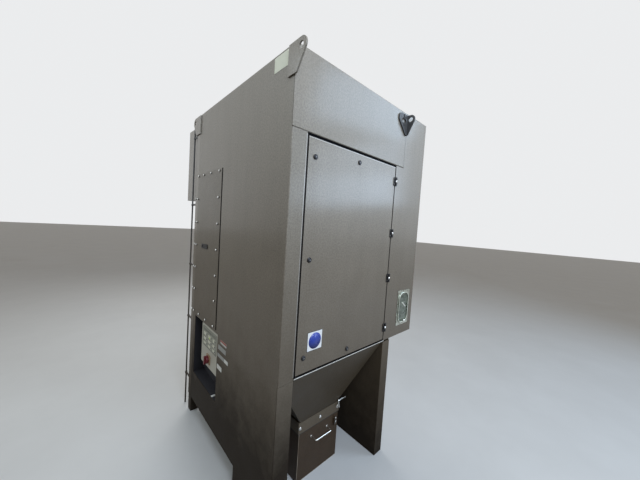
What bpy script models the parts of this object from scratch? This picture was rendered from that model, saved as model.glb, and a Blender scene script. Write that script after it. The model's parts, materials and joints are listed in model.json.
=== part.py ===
"""Cartridge dust collector of a laser cutting line, as a Blender 4.5 model in metres.

Machine coordinates: x runs right from the left face, y back from the front face, z up from the floor.
The empty machine_origin moves them so that the centre of the bounding box stands on the world origin.
"""

import math

import bmesh
import bpy
from mathutils import Vector
from mathutils.geometry import tessellate_polygon

# Clearances and sheet
SHEET = 0.003
SEAT = 0.0003
SEAM = 0.002
BEND = 0.002
SHIM = 0.001

# Facets of round forms
FACETS_LARGE = 32
FACETS = 24
FACETS_SMALL = 16
FACETS_TUBE = 10
ROD_ROUNDING = 3
MITRE_LIMIT = 2.0

# Cabinet
BODY_WIDTH = 0.945
BODY_DEPTH = 1.293
BODY_HEIGHT = 2.405
LEFT_POST = 0.090
RIGHT_POST = 0.081
FASCIA_TALL = 0.366
FASCIA_OVER_WING = 0.007
SILL_TOP = 0.842
SILL_DROP = 0.006
SILL_NOSE = 0.006
SILL_SHEET = 0.0015
SILL_DEPTH = 0.018
SILL_RETURN = 0.004
LEG_DROP = 0.016
SIDE_BOTTOM = 0.134
REAR_WRAP = 0.064
LEG_DEPTH = 0.420
REAR_LEG = 0.060
ROOF_LIP = 0.025

# Inlet wing
WING_WIDTH = 0.2845
WING_DEPTH = 0.620
WING_DROP = 0.005
INLET_BORE = 0.240
INLET_LENGTH = 0.060
INLET_FLANGE = 0.025
INLET_BEAD = 0.004
INLET_RISE = 0.663
PORT_WIDTH = 0.400
PORT_HEIGHT = 0.500
PORT_LIFT = 0.500

# Filter door
DOOR_GAP_SIDE = 0.005
DOOR_GAP_TOP = 0.009
DOOR_GAP_BOTTOM = 0.006
HINGE_GAP = 0.004
DOOR_DEPTH = 0.018
REBATE = 0.025
FRAME_LAP = 0.012
GASKET_WIDTH = 0.015
GASKET_SPACE = 0.003
GASKET_EDGE = 0.0005

# Quarter-turn locks of the door
LOCK_RADIUS = 0.013
LOCK_PROUD = 0.007
LOCK_SHAFT = 0.009
LOCK_INSET = 0.051
LOCK_CAM = 0.045
CAM_WIDTH = 0.016
CAM_THICK = 0.003
CAM_GAP = 0.002
LOCK_TAIL = 0.003
LOCK_SLOT = 0.0028
LOCK_SLOT_DEEP = 0.0025
LOCK_HEIGHT_SHARES = (0.9188, 0.4924, 0.0694)
LOCK_WIDTH_SHARE = 0.5033
LOCK_TOP_INSET = 0.054
LOCK_BOTTOM_INSET = 0.039

# Hinges of the door
HINGE_HEIGHT_SHARES = (0.9154, 0.6218, 0.3638, 0.0719)
HINGE_TALL = 0.054
LEAF_WIDE = 0.0125
LEAF_THICK = 0.004
KNUCKLE_RADIUS = 0.007
PIN_RADIUS = 0.003

# Hopper, collar and bin
HOPPER_LEFT_SKIRT = 0.122
HOPPER_RIGHT_SKIRT = 0.020
HOPPER_BACK_GAP = 0.0065
HOPPER_SETBACK = 0.004
HOPPER_FOOT_INSET = 0.002
COLLAR_WIDE = 0.359
COLLAR_OFFSET = 0.0075
COLLAR_FRONT = 0.185
COLLAR_DEPTH = 0.375
COLLAR_BOTTOM = 0.319
COLLAR_TALL = 0.070
COLLAR_MARGIN = 0.018
SEAL_THICK = 0.004
BIN_SIDE_GAP = 0.006
BIN_WALL = 0.003
BIN_INSET = 0.002
HANDLE_WIDE = 0.137
HANDLE_HEIGHT = 0.256
HANDLE_REACH = 0.047
HANDLE_ROD = 0.004
HANDLE_BEND = 0.010

# Latch of the bin and clamp of the collar
LATCH_OFFSET = 0.032
LATCH_TOP = 0.300
LATCH_TALL = 0.070
LATCH_WIDE = 0.022
LATCH_LEVER = 0.052
LATCH_PIN = 0.003
LATCH_EAR = 0.014
LATCH_SHEET = 0.002
CLAMP_ROD = 0.004
CLAMP_RISE = 0.055
CLAMP_REACH = 0.075
CLAMP_INSET = 0.014
CLAMP_STANDOFF = 0.016
CLAMP_LEAN = 0.014
CLAMP_BEND = 0.006

# Left face
COVER_GAP = 0.0185
COVER_DROP = 0.460
COVER_RISE = 0.006
COVER_THICK = 0.002
COVER_LAP = 0.040
GRIP_INSET = 0.205
GRIP_WIDE = 0.114
GRIP_TALL = 0.034
GRIP_PROUD = 0.005
GRIP_RIM = 0.008
GRIP_CORNER = 0.006
RECESS_LONG = 0.462
RECESS_SETBACK = 0.109
RECESS_TALL = 0.469
RECESS_DROP = 0.013
RECESS_DEPTH = 0.083
TRAY_LIP = 0.008
CONTROL_WIDE = 0.288
CONTROL_TALL = 0.288
CONTROL_PANEL_THICK = 0.012
CONTROL_GAP = 0.004
CONTROL_WALL = 0.002
CONTROL_CORNER = 0.003
SWITCH_INSET = 0.140
SWITCH_RISE = 0.063
SWITCH_PLATE = 0.066
SWITCH_PLATE_THICK = 0.006
SWITCH_CORNER = 0.006
KNOB_RADIUS = 0.024
KNOB_PROUD = 0.034
KNOB_GRIP = 0.014
KNOB_GRIP_PROUD = 0.010
KNOB_ROUND = 0.003
KNOB_STEM_END = 0.010

# Lifting lugs
LUG_PLATE = 0.008
LUG_DROP = 0.003
LUG_TALL = 0.140
LUG_REACH = 0.077
LUG_LAP_FRONT = 0.050
LUG_LAP_REAR = 0.080
LUG_EYE = 0.036
LUG_HOLE = 0.016
LUG_FOOT_REACH = 0.018
LUG_FOOT_RISE = 0.004
LUG_ARC_STEPS = 10
LUG_ARC_TURN = 112.5
BRACKET_LEFT_REACH = 0.102
BRACKET_RIGHT_REACH = 0.0615
BRACKET_DROP = 0.017
BRACKET_TALL = 0.132
BRACKET_SLOT_WIDE = 0.050
BRACKET_SLOT_TALL = 0.028
BRACKET_SLOT_INSET = 0.042
BRACKET_SLOT_DROP = 0.045

# Inspection cover on the wing
PLATE_INSET = 0.068
PLATE_WIDE = 0.163
PLATE_RISE = 0.071
PLATE_TALL = 0.258
PLATE_THICK = 0.002
DISH_MARGIN = 0.014
DISH_RADIUS = 0.052
DISH_PROUD = 0.006
DISH_RIM = 0.010
PLATE_CORNER = 0.006

# Air pipe behind the rear left corner
PIPE_RADIUS = 0.006
PIPE_X = 0.004
PIPE_STANDOFF = 0.079
PIPE_DROP = 0.075
CLIP_HEIGHT_SHARES = (0.9380, 0.7110, 0.5052, 0.3202, 0.1123)
CLIP_TALL = 0.016
CLIP_WIDE = 0.006
CLIP_BAND = 0.003

# Clean-air side
TUBE_SHEET_RISE = 0.021
TUBE_SHEET_SETBACK = 0.020
FAN_ROOM_SHARE = 0.42266
CARTRIDGE_LAP = 0.010
CARTRIDGE_WALL = 0.060
CARTRIDGE_CLEAR = 0.198
CARTRIDGE_GAP = 0.010
CARTRIDGE_CAP = 0.012
CARTRIDGE_RIM = 0.002
CARTRIDGE_PLEATS = 36
PLEAT_DEEP = 0.034
CARTRIDGE_BACK_GAP = 0.0145
CHAMBER_SETBACK = 0.0225
CARTRIDGE_PITCH_SHARE = 0.4550
TANK_RADIUS = 0.060
TANK_END = 0.0825
TANK_DROP = 0.135
TANK_Y = 0.110
SADDLE_THICK = 0.024
NOZZLE_RADIUS = 0.012
NOZZLE_RISE = 0.090

# Fan
FAN_DROP = 0.190
FAN_CASING_DEPTH = 0.150
FAN_EYE = 0.085
FAN_INNER = 0.130
FAN_OUTER = 0.166
SCROLL_START = -10
SCROLL_TURN = 280
WHEEL_RADIUS = 0.120
WHEEL_DEPTH = 0.080
WHEEL_BLADES = 10
WHEEL_GAP = 0.012
WHEEL_PLATE = 0.004
BLADE_THICK = 0.0024
BLADE_LEAN = 38
SHAFT_RADIUS = 0.012
MOTOR_RADIUS = 0.085
MOTOR_LENGTH = 0.240
MOTOR_FLANGE = 0.012
MOTOR_COWL = 0.048
MOTOR_ROUND = 0.010
MOTOR_FINS = 20

# Rear outlet cowl
COWL_INSET = 0.020
COWL_DEPTH = 0.275
COWL_TALL = 0.597
COWL_DROP = 0.055
OUTLET_MARGIN = 0.060
SLOT_COUNT = 9
SLOT_TALL = 0.022

# Lines that several pieces share
wing_left = BODY_WIDTH + SEAT
wing_right = BODY_WIDTH + WING_WIDTH
wing_bottom = SILL_TOP - WING_DROP
inlet_height = wing_bottom + INLET_RISE
fascia_bottom = BODY_HEIGHT - FASCIA_TALL
fascia_right = BODY_WIDTH + FASCIA_OVER_WING
leg_top = SILL_TOP - LEG_DROP
tongue_left = BODY_WIDTH - RIGHT_POST + HINGE_GAP / 2
door_left = LEFT_POST + DOOR_GAP_SIDE
door_right = BODY_WIDTH - RIGHT_POST - HINGE_GAP / 2
door_bottom = SILL_TOP + DOOR_GAP_BOTTOM
door_top = fascia_bottom - DOOR_GAP_TOP
frame_back = DOOR_DEPTH + GASKET_SPACE + SHEET
wrap_front = BODY_DEPTH - REAR_WRAP
hinge_x = BODY_WIDTH - RIGHT_POST
hinge_y = -KNUCKLE_RADIUS - SEAT
middle_x = BODY_WIDTH / 2
partition_front = BODY_DEPTH * (1 - FAN_ROOM_SHARE)
partition_back = partition_front + SHEET
deck_height = SILL_TOP
hopper_middle_x = (LEFT_POST + BODY_WIDTH - RIGHT_POST) / 2 + COLLAR_OFFSET
collar_left = hopper_middle_x - COLLAR_WIDE / 2
collar_right = hopper_middle_x + COLLAR_WIDE / 2
collar_top = COLLAR_BOTTOM + COLLAR_TALL
collar_back = COLLAR_FRONT + COLLAR_DEPTH
bin_left = collar_left + BIN_SIDE_GAP
bin_right = collar_right - BIN_SIDE_GAP
bin_front = COLLAR_FRONT + BIN_INSET
bin_back = collar_back - BIN_INSET
bin_top = COLLAR_BOTTOM - SEAL_THICK - 2 * SEAT
latch_x = bin_right - LATCH_OFFSET
clamp_x = collar_right - CLAMP_INSET
clamp_height = COLLAR_BOTTOM + COLLAR_TALL / 2
tube_sheet_height = fascia_bottom + TUBE_SHEET_RISE
tube_sheet_top = tube_sheet_height + SHEET
cartridge_pitch_x = BODY_WIDTH * CARTRIDGE_PITCH_SHARE
cartridge_pitch_y = (partition_front - frame_back - CHAMBER_SETBACK) / 2
cartridge_flange = (cartridge_pitch_y - CARTRIDGE_GAP) / 2
cartridge_radius = cartridge_flange - CARTRIDGE_LAP
cartridge_bore = cartridge_radius - CARTRIDGE_WALL
cartridge_length = tube_sheet_height - SILL_TOP - CARTRIDGE_CLEAR
cartridge_back_y = partition_front - CARTRIDGE_BACK_GAP - cartridge_flange
cartridge_front_y = cartridge_back_y - cartridge_pitch_y
tank_height = BODY_HEIGHT - TANK_DROP
nozzle_height = tube_sheet_height + NOZZLE_RISE
fan_height = BODY_HEIGHT - FAN_DROP
casing_front = partition_back + SEAT
casing_back = casing_front + FAN_CASING_DEPTH
wheel_front = casing_front + SHEET + WHEEL_GAP
wheel_back = wheel_front + WHEEL_DEPTH
cover_front = partition_front + COVER_GAP
cover_top = BODY_HEIGHT - COVER_DROP
cover_bottom = SILL_TOP + COVER_RISE
grip_front = cover_front + GRIP_INSET
grip_height = (cover_bottom + cover_top) / 2
recess_back = BODY_DEPTH - RECESS_SETBACK
recess_front = recess_back - RECESS_LONG
recess_top = SILL_TOP - RECESS_DROP
recess_bottom = recess_top - RECESS_TALL
control_left = recess_front + CONTROL_GAP
control_top = recess_top - CONTROL_GAP
control_bottom = control_top - CONTROL_TALL
switch_y = control_left + SWITCH_INSET
switch_height = control_bottom + SWITCH_RISE
lug_top = BODY_HEIGHT - LUG_DROP
lug_bottom = lug_top - LUG_TALL
bracket_top = BODY_HEIGHT - BRACKET_DROP
bracket_bottom = bracket_top - BRACKET_TALL
plate_left = BODY_WIDTH + PLATE_INSET
plate_bottom = wing_bottom + PLATE_RISE
cowl_front = BODY_DEPTH + SEAT
cowl_back = cowl_front + COWL_DEPTH
cowl_top = BODY_HEIGHT - COWL_DROP
cowl_bottom = cowl_top - COWL_TALL
pipe_y = BODY_DEPTH + PIPE_STANDOFF
pipe_top = BODY_HEIGHT - PIPE_DROP

machine_left = -KNOB_PROUD - SEAT
machine_right = wing_right + INLET_LENGTH
machine_front = -LUG_REACH
machine_back = cowl_back


def material(name, colour, roughness, metallic):
    made = bpy.data.materials.new(name)
    made.use_nodes = True
    shader = made.node_tree.nodes["Principled BSDF"]
    shader.inputs["Base Color"].default_value = (*colour, 1.0)
    shader.inputs["Roughness"].default_value = roughness
    shader.inputs["Metallic"].default_value = metallic
    made.diffuse_color = (*colour, 1.0)
    return made


# Outlines


def rectangle(a0, a1, b0, b1):
    return [(a0, b0), (a1, b0), (a1, b1), (a0, b1)]


def circle(a, b, radius, steps=FACETS):
    angles = [2 * math.pi * i / steps for i in range(steps)]
    return [(a + radius * math.cos(t), b + radius * math.sin(t)) for t in angles]


def filleted(points, radii, closed, steps=4):
    """Replaces each corner of a line by an arc of its own radius."""
    result = []
    count = len(points)
    for i, corner in enumerate(points):
        if radii[i] <= 0 or (not closed and i in (0, count - 1)):
            result.append(tuple(corner))
            continue
        here = Vector(corner)
        back = (Vector(points[i - 1]) - here).normalized()
        ahead = (Vector(points[(i + 1) % count]) - here).normalized()
        half = back.angle(ahead) / 2
        reach = radii[i] / math.tan(half)
        centre = here + (back + ahead).normalized() * (radii[i] / math.sin(half))
        first = here + back * reach - centre
        last = here + ahead * reach - centre
        sweep = first.angle(last)
        for k in range(steps + 1):
            share = k / steps
            spoke = first * math.sin((1 - share) * sweep) + last * math.sin(share * sweep)
            result.append(tuple(centre + spoke / math.sin(sweep)))
    return result


def rounded_rectangle(a0, a1, b0, b1, radius, steps=4):
    return filleted(rectangle(a0, a1, b0, b1), [radius] * 4, True, steps)


def folded_sheet(points, thickness=SHEET, bend=BEND, steps=3):
    """The closed outline of a sheet bent along a line. The metal lies to the left of the line."""
    corners = [Vector(p) for p in points]
    ways = [(b - a).normalized() for a, b in zip(corners, corners[1:])]
    sides = [Vector((-w.y, w.x)) for w in ways]
    offset = [corners[0] + sides[0] * thickness]
    outer_radii = [0.0]
    inner_radii = [0.0]
    for i in range(1, len(corners) - 1):
        mean = (sides[i - 1] + sides[i]).normalized()
        offset.append(corners[i] + mean * (thickness / mean.dot(sides[i])))
        turns_left = ways[i - 1].x * ways[i].y - ways[i - 1].y * ways[i].x > 0
        outer_radii.append(bend + thickness if turns_left else bend)
        inner_radii.append(bend if turns_left else bend + thickness)
    offset.append(corners[-1] + sides[-1] * thickness)
    outer_radii.append(0.0)
    inner_radii.append(0.0)
    near = filleted([tuple(p) for p in corners], outer_radii, False, steps)
    far = filleted([tuple(p) for p in offset], inner_radii, False, steps)
    return near + far[::-1]


# Meshes


def at(axis, a, b, level):
    """A point of an outline: (y, z) on axis x, (x, z) on axis y and (x, y) on axis z."""
    if axis == "x":
        return (level, a, b)
    if axis == "y":
        return (a, level, b)
    return (a, b, level)


def prism(outline, axis, start, end, holes=()):
    """A closed plate or bar: an outline with holes, extruded from start to end."""
    mesh = bmesh.new()
    loops = [outline, *holes]
    levels = []
    for level in (start, end):
        levels.append([[mesh.verts.new(at(axis, a, b, level)) for a, b in loop] for loop in loops])
    for low, high in zip(*levels):
        for i in range(len(low)):
            j = (i + 1) % len(low)
            mesh.faces.new((low[i], low[j], high[j], high[i]))
    if holes:
        triangles = tessellate_polygon([[Vector((a, b, 0)) for a, b in loop] for loop in loops])
    for rings in levels:
        if not holes:
            mesh.faces.new(rings[0])
            continue
        corners = [vert for ring in rings for vert in ring]
        for triangle in triangles:
            mesh.faces.new([corners[i] for i in triangle])
    bmesh.ops.recalc_face_normals(mesh, faces=mesh.faces)
    return mesh


def block(x0, x1, y0, y1, z0, z1):
    return prism(rectangle(x0, x1, y0, y1), "z", z0, z1)


def turned(profile, axis, a, b, steps=FACETS):
    """A solid of revolution from (radius, level) points, about the axis through (a, b)."""
    mesh = bmesh.new()
    rings = []
    for radius, level in profile:
        if radius <= 0:
            rings.append([mesh.verts.new(at(axis, a, b, level))])
        else:
            rings.append([mesh.verts.new(at(axis, p, q, level)) for p, q in circle(a, b, radius, steps)])
    ends_open = profile[0][0] > 0
    pairs = list(zip(rings, rings[1:]))
    if ends_open:
        pairs.append((rings[-1], rings[0]))
    for low, high in pairs:
        for i in range(steps):
            j = (i + 1) % steps
            ring = (low[i % len(low)], low[j % len(low)], high[j % len(high)], high[i % len(high)])
            mesh.faces.new(dict.fromkeys(ring))
    bmesh.ops.recalc_face_normals(mesh, faces=mesh.faces)
    return mesh


def lofted_shell(outer, inner):
    """Walls between two stacks of corner rings that are open at the bottom and the top."""
    mesh = bmesh.new()
    walls = [[[mesh.verts.new(p) for p in ring] for ring in stack] for stack in (outer, inner)]
    for rings in walls:
        for low, high in zip(rings, rings[1:]):
            for i in range(4):
                j = (i + 1) % 4
                mesh.faces.new((low[i], low[j], high[j], high[i]))
    for end in (0, -1):
        for i in range(4):
            j = (i + 1) % 4
            mesh.faces.new((walls[0][end][i], walls[0][end][j], walls[1][end][j], walls[1][end][i]))
    bmesh.ops.recalc_face_normals(mesh, faces=mesh.faces)
    return mesh


def swept(path, radius, normal, steps=FACETS_TUBE):
    """A round bar along a flat line of points. The normal stands on the plane of the line."""
    places = [Vector(p) for p in path]
    side = Vector(normal)
    mesh = bmesh.new()
    rings = []
    for i, place in enumerate(places):
        ahead = places[min(i + 1, len(places) - 1)] - place
        behind = place - places[max(i - 1, 0)]
        tangent = (ahead.normalized() + behind.normalized()).normalized()
        stretch = 1 / max(1 / MITRE_LIMIT, tangent.dot((ahead if ahead.length else behind).normalized()))
        across = tangent.cross(side) * stretch
        ring = [place + across * (radius * a) + side * (radius * b) for a, b in circle(0, 0, 1, steps)]
        rings.append([mesh.verts.new(p) for p in ring])
    for low, high in zip(rings, rings[1:]):
        for i in range(steps):
            j = (i + 1) % steps
            mesh.faces.new((low[i], low[j], high[j], high[i]))
    mesh.faces.new(rings[0])
    mesh.faces.new(rings[-1])
    bmesh.ops.recalc_face_normals(mesh, faces=mesh.faces)
    return mesh


# Objects

machine_positions = {}


def new_object(name, data, origin, parent):
    made = bpy.data.objects.new(name, data)
    bpy.context.scene.collection.objects.link(made)
    carrier = parent or root
    made.parent = carrier
    made.location = Vector(origin) - machine_positions[carrier.name]
    machine_positions[made.name] = Vector(origin)
    return made


def solid(name, mesh, finish, origin=(0, 0, 0), parent=None):
    """Makes one sub-part of a mesh in machine coordinates, with its origin at a machine point."""
    bmesh.ops.translate(mesh, verts=mesh.verts, vec=-Vector(origin))
    data = bpy.data.meshes.new(name)
    mesh.to_mesh(data)
    mesh.free()
    data.materials.append(finish)
    return new_object(name, data, origin, parent)


def helper(mesh):
    """A hidden body for a Boolean."""
    data = bpy.data.meshes.new("helper")
    mesh.to_mesh(data)
    mesh.free()
    made = new_object("helper", data, (0, 0, 0), None)
    made.hide_render = True
    made.display_type = "WIRE"
    return made


def combine(target, mesh, operation):
    modifier = target.modifiers.new(operation.lower(), "BOOLEAN")
    modifier.operation = operation
    modifier.solver = "EXACT"
    modifier.object = helper(mesh)
    return target


def cut(target, *meshes):
    for mesh in meshes:
        combine(target, mesh, "DIFFERENCE")
    return target


def join(target, *meshes):
    for mesh in meshes:
        combine(target, mesh, "UNION")
    return target


def rod(name, points, radius, finish, bend=0.0, origin=(0, 0, 0), parent=None):
    """A round rod along a line of machine points, bent at its inner corners."""
    path = [Vector(p) for p in points]
    if bend:
        path = [Vector(p) for p in filleted([tuple(p) for p in path], [bend] * len(path), False, 5)]
    data = bpy.data.curves.new(name, "CURVE")
    data.dimensions = "3D"
    data.bevel_depth = radius
    data.bevel_resolution = ROD_ROUNDING
    data.use_fill_caps = True
    line = data.splines.new("POLY")
    line.points.add(len(path) - 1)
    for point, place in zip(line.points, path):
        point.co = (*(place - Vector(origin)), 1.0)
    data.materials.append(finish)
    return new_object(name, data, origin, parent)


for old in list(bpy.data.objects):
    bpy.data.objects.remove(old, do_unlink=True)

root = bpy.data.objects.new("machine_origin", None)
bpy.context.scene.collection.objects.link(root)
root.location = (-(machine_left + machine_right) / 2, -(machine_front + machine_back) / 2, 0)
machine_positions[root.name] = Vector((0, 0, 0))

coat = material("textured_coat", (0.17, 0.17, 0.165), 0.55, 0.35)
dark_coat = material("dark_coat", (0.05, 0.05, 0.052), 0.5, 0.3)
black_plastic = material("black_plastic", (0.015, 0.015, 0.016), 0.45, 0.0)
zinc = material("zinc_plate", (0.55, 0.58, 0.56), 0.35, 0.9)
steel = material("bright_steel", (0.62, 0.62, 0.6), 0.25, 1.0)
beige = material("beige_box", (0.55, 0.53, 0.44), 0.45, 0.0)
red = material("switch_red", (0.25, 0.02, 0.03), 0.35, 0.0)
yellow = material("switch_plate", (0.75, 0.42, 0.12), 0.45, 0.0)
rubber = material("seal_rubber", (0.03, 0.03, 0.03), 0.8, 0.0)
media = material("filter_media", (0.72, 0.7, 0.64), 0.9, 0.0)
motor_paint = material("motor_paint", (0.09, 0.12, 0.16), 0.45, 0.2)


def add_side_panels():
    """One large sheet a side; the left one turns round the front corner as the door post."""
    lap = COVER_LAP
    service = rectangle(cover_front + lap, wrap_front - lap, cover_bottom + lap, cover_top - lap)
    recess = rectangle(recess_front, recess_back, recess_bottom, recess_top)
    plan = folded_sheet([(0, wrap_front - SEAM), (0, 0), (LEFT_POST, 0)])
    left = solid("left_side_panel", prism(plan, "z", SIDE_BOTTOM, BODY_HEIGHT), coat)
    reach = LEFT_POST * 2
    front_back = SHEET + BEND + SEAT
    cut(
        left,
        block(-reach, reach, -reach, front_back, SIDE_BOTTOM - reach, leg_top + SEAM / 2),
        block(-reach, reach, -reach, front_back, fascia_bottom - SEAM / 2, BODY_HEIGHT + reach),
        prism(service, "x", -SHEET, 2 * SHEET),
        prism(recess, "x", -SHEET, 2 * SHEET),
    )
    port = rectangle(
        WING_DEPTH / 2 - PORT_WIDTH / 2,
        WING_DEPTH / 2 + PORT_WIDTH / 2,
        wing_bottom + PORT_LIFT,
        wing_bottom + PORT_LIFT + PORT_HEIGHT,
    )
    side = rectangle(front_back, wrap_front - SEAM, SIDE_BOTTOM, BODY_HEIGHT)
    solid("right_side_panel", prism(side, "x", BODY_WIDTH - SHEET, BODY_WIDTH, [port]), coat)


def add_front():
    """Fascia over the door, sill under it and the rebated frame that the door closes on."""
    lip = DOOR_DEPTH
    line = [(lip * 2, BODY_HEIGHT), (0, BODY_HEIGHT), (0, fascia_bottom), (lip, fascia_bottom)]
    fascia = solid("front_fascia", prism(folded_sheet(line), "x", 0, fascia_right), coat)
    # Behind the overhang and over the side sheets only the face stays
    for x0, x1 in ((-SHEET, SHEET + SEAT), (BODY_WIDTH - SHEET - SEAT, fascia_right + SHEET)):
        cut(fascia, block(x0, x1, SHEET, lip * 3, fascia_bottom - SHEET, BODY_HEIGHT + SHEET))
    nose = [
        (SILL_DEPTH, SILL_TOP),
        (-SILL_NOSE, SILL_TOP),
        (-SILL_NOSE, SILL_TOP - SILL_DROP),
        (-SILL_NOSE + SILL_RETURN, SILL_TOP - SILL_DROP),
    ]
    sill_shape = folded_sheet(nose, SILL_SHEET, SILL_SHEET / 3)
    solid("door_sill", prism(sill_shape, "x", LEFT_POST + SEAT, BODY_WIDTH - RIGHT_POST - SEAT), coat)
    left = LEFT_POST - FRAME_LAP
    right = BODY_WIDTH - RIGHT_POST + FRAME_LAP
    bottom = SILL_TOP + SEAT
    top = fascia_bottom - SEAT
    front = SHEET + SEAT
    frame = solid("door_frame", block(left, right, front, frame_back, bottom, top), coat)
    cut(
        frame,
        block(left + SHEET, right - SHEET, front - SHEET, frame_back - SHEET, bottom + SHEET, top - SHEET),
        block(
            door_left + REBATE,
            door_right - REBATE,
            front,
            frame_back + SHEET,
            door_bottom + REBATE,
            door_top - REBATE,
        ),
    )


def add_wing():
    """Inlet plenum on the right: its front sheet reaches in to the door as the hinge post."""
    wing = solid("inlet_wing", block(wing_left, wing_right, 0, WING_DEPTH, wing_bottom, BODY_HEIGHT), coat)
    cut(
        wing,
        block(
            wing_left - SHEET,
            wing_right - SHEET,
            SHEET,
            WING_DEPTH - SHEET,
            wing_bottom + SHEET,
            BODY_HEIGHT - SHEET,
        ),
    )
    tongue_top = fascia_bottom - SEAM
    join(wing, block(tongue_left, wing_left + 2 * SHEET, 0, SHEET, wing_bottom, tongue_top))
    cut(
        wing,
        block(wing_left - SHEET, fascia_right + SEAM, -SHEET, SHEET + SEAT, tongue_top, BODY_HEIGHT + SHEET),
        turned(
            [(0, wing_right - 2 * SHEET), (INLET_BORE / 2, wing_right - 2 * SHEET)]
            + [(INLET_BORE / 2, wing_right + SHEET), (0, wing_right + SHEET)],
            "x",
            WING_DEPTH / 2,
            inlet_height,
            FACETS_LARGE,
        ),
    )
    bore = INLET_BORE / 2
    flange = bore + INLET_FLANGE
    bead = INLET_BEAD
    start = wing_right + SEAT
    spigot = [
        (bore, start),
        (flange, start),
        (flange, start + SHEET),
        (bore + SHEET, start + SHEET),
        (bore + SHEET, machine_right - 2 * bead),
        (bore + SHEET + bead, machine_right - bead),
        (bore + SHEET, machine_right),
        (bore, machine_right),
    ]
    solid("inlet_spigot", turned(spigot, "x", WING_DEPTH / 2, inlet_height, FACETS_LARGE), zinc)


def add_roof_and_back():
    """Roof tray between the sides, and the back sheet that turns round both rear corners."""
    inside_left = SHEET + SEAT
    inside_right = BODY_WIDTH - SHEET - SEAT
    drop = BODY_HEIGHT - ROOF_LIP
    top = BODY_HEIGHT
    section = [(inside_right, drop), (inside_right, top), (inside_left, top), (inside_left, drop)]
    roof_start = DOOR_DEPTH * 2 + SEAM
    solid(
        "roof_panel",
        prism(folded_sheet(section), "y", roof_start, BODY_DEPTH - SHEET - BEND - SEAT),
        coat,
    )
    plan = [(BODY_WIDTH, wrap_front), (BODY_WIDTH, BODY_DEPTH), (0, BODY_DEPTH), (0, wrap_front)]
    back = solid("rear_panel", prism(folded_sheet(plan), "z", SIDE_BOTTOM, BODY_HEIGHT), coat)
    margin = COWL_INSET + OUTLET_MARGIN
    cut(
        back,
        block(
            margin,
            BODY_WIDTH - margin,
            BODY_DEPTH - 2 * SHEET,
            BODY_DEPTH + SHEET,
            cowl_bottom + OUTLET_MARGIN,
            cowl_top - OUTLET_MARGIN,
        ),
    )


def add_outlet_cowl():
    """Box over the outlet, with slots in its back face."""
    left = COWL_INSET
    right = BODY_WIDTH - COWL_INSET
    cowl = solid("outlet_cowl", block(left, right, cowl_front, cowl_back, cowl_bottom, cowl_top), coat)
    cut(
        cowl,
        block(
            left + SHEET,
            right - SHEET,
            cowl_front - SHEET,
            cowl_back - SHEET,
            cowl_bottom + SHEET,
            cowl_top - SHEET,
        ),
    )
    pitch = (cowl_top - cowl_bottom) / (SLOT_COUNT + 1)
    for i in range(SLOT_COUNT):
        height = cowl_bottom + pitch * (i + 1)
        half = SLOT_TALL / 2
        slot = rounded_rectangle(
            left + OUTLET_MARGIN,
            right - OUTLET_MARGIN,
            height - half,
            height + half,
            half * 0.9,
            2,
        )
        cut(cowl, prism(slot, "y", cowl_back - 2 * SHEET, cowl_back + SHEET))


def add_legs():
    """Box legs in front, up to the hopper, and square posts behind."""
    inner = 2 * SHEET + SEAT
    left_out = SHEET + SEAT
    left = [
        (0, 0),
        (LEFT_POST, 0),
        (LEFT_POST, LEG_DEPTH),
        (left_out, LEG_DEPTH),
        (left_out, SHEET),
        (0, SHEET),
    ]
    hollow = rectangle(inner, LEFT_POST - SHEET, SHEET * 1.5, LEG_DEPTH - SHEET)
    top = leg_top - SEAM / 2
    solid("left_leg", prism(left, "z", 0, top, [hollow]), coat)
    right_in = BODY_WIDTH - RIGHT_POST
    right_out = BODY_WIDTH - SHEET - SEAT
    right = [
        (right_in, 0),
        (BODY_WIDTH, 0),
        (BODY_WIDTH, SHEET),
        (right_out, SHEET),
        (right_out, LEG_DEPTH),
        (right_in, LEG_DEPTH),
    ]
    hollow = rectangle(right_in + SHEET, BODY_WIDTH - inner, SHEET * 1.5, LEG_DEPTH - SHEET)
    solid("right_leg", prism(right, "z", 0, min(top, wing_bottom - SEAM), [hollow]), coat)
    back = BODY_DEPTH - SHEET - SEAT
    posts = {"rear_leg_left": left_out, "rear_leg_right": right_out - REAR_LEG}
    for name, x in posts.items():
        tube = rounded_rectangle(x, x + REAR_LEG, back - REAR_LEG, back, 2 * BEND)
        bore = rectangle(x + SHEET, x + REAR_LEG - SHEET, back - REAR_LEG + SHEET, back - SHEET)
        solid(name, prism(tube, "z", 0, deck_height - SHEET - SEAT, [bore]), dark_coat)


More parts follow.
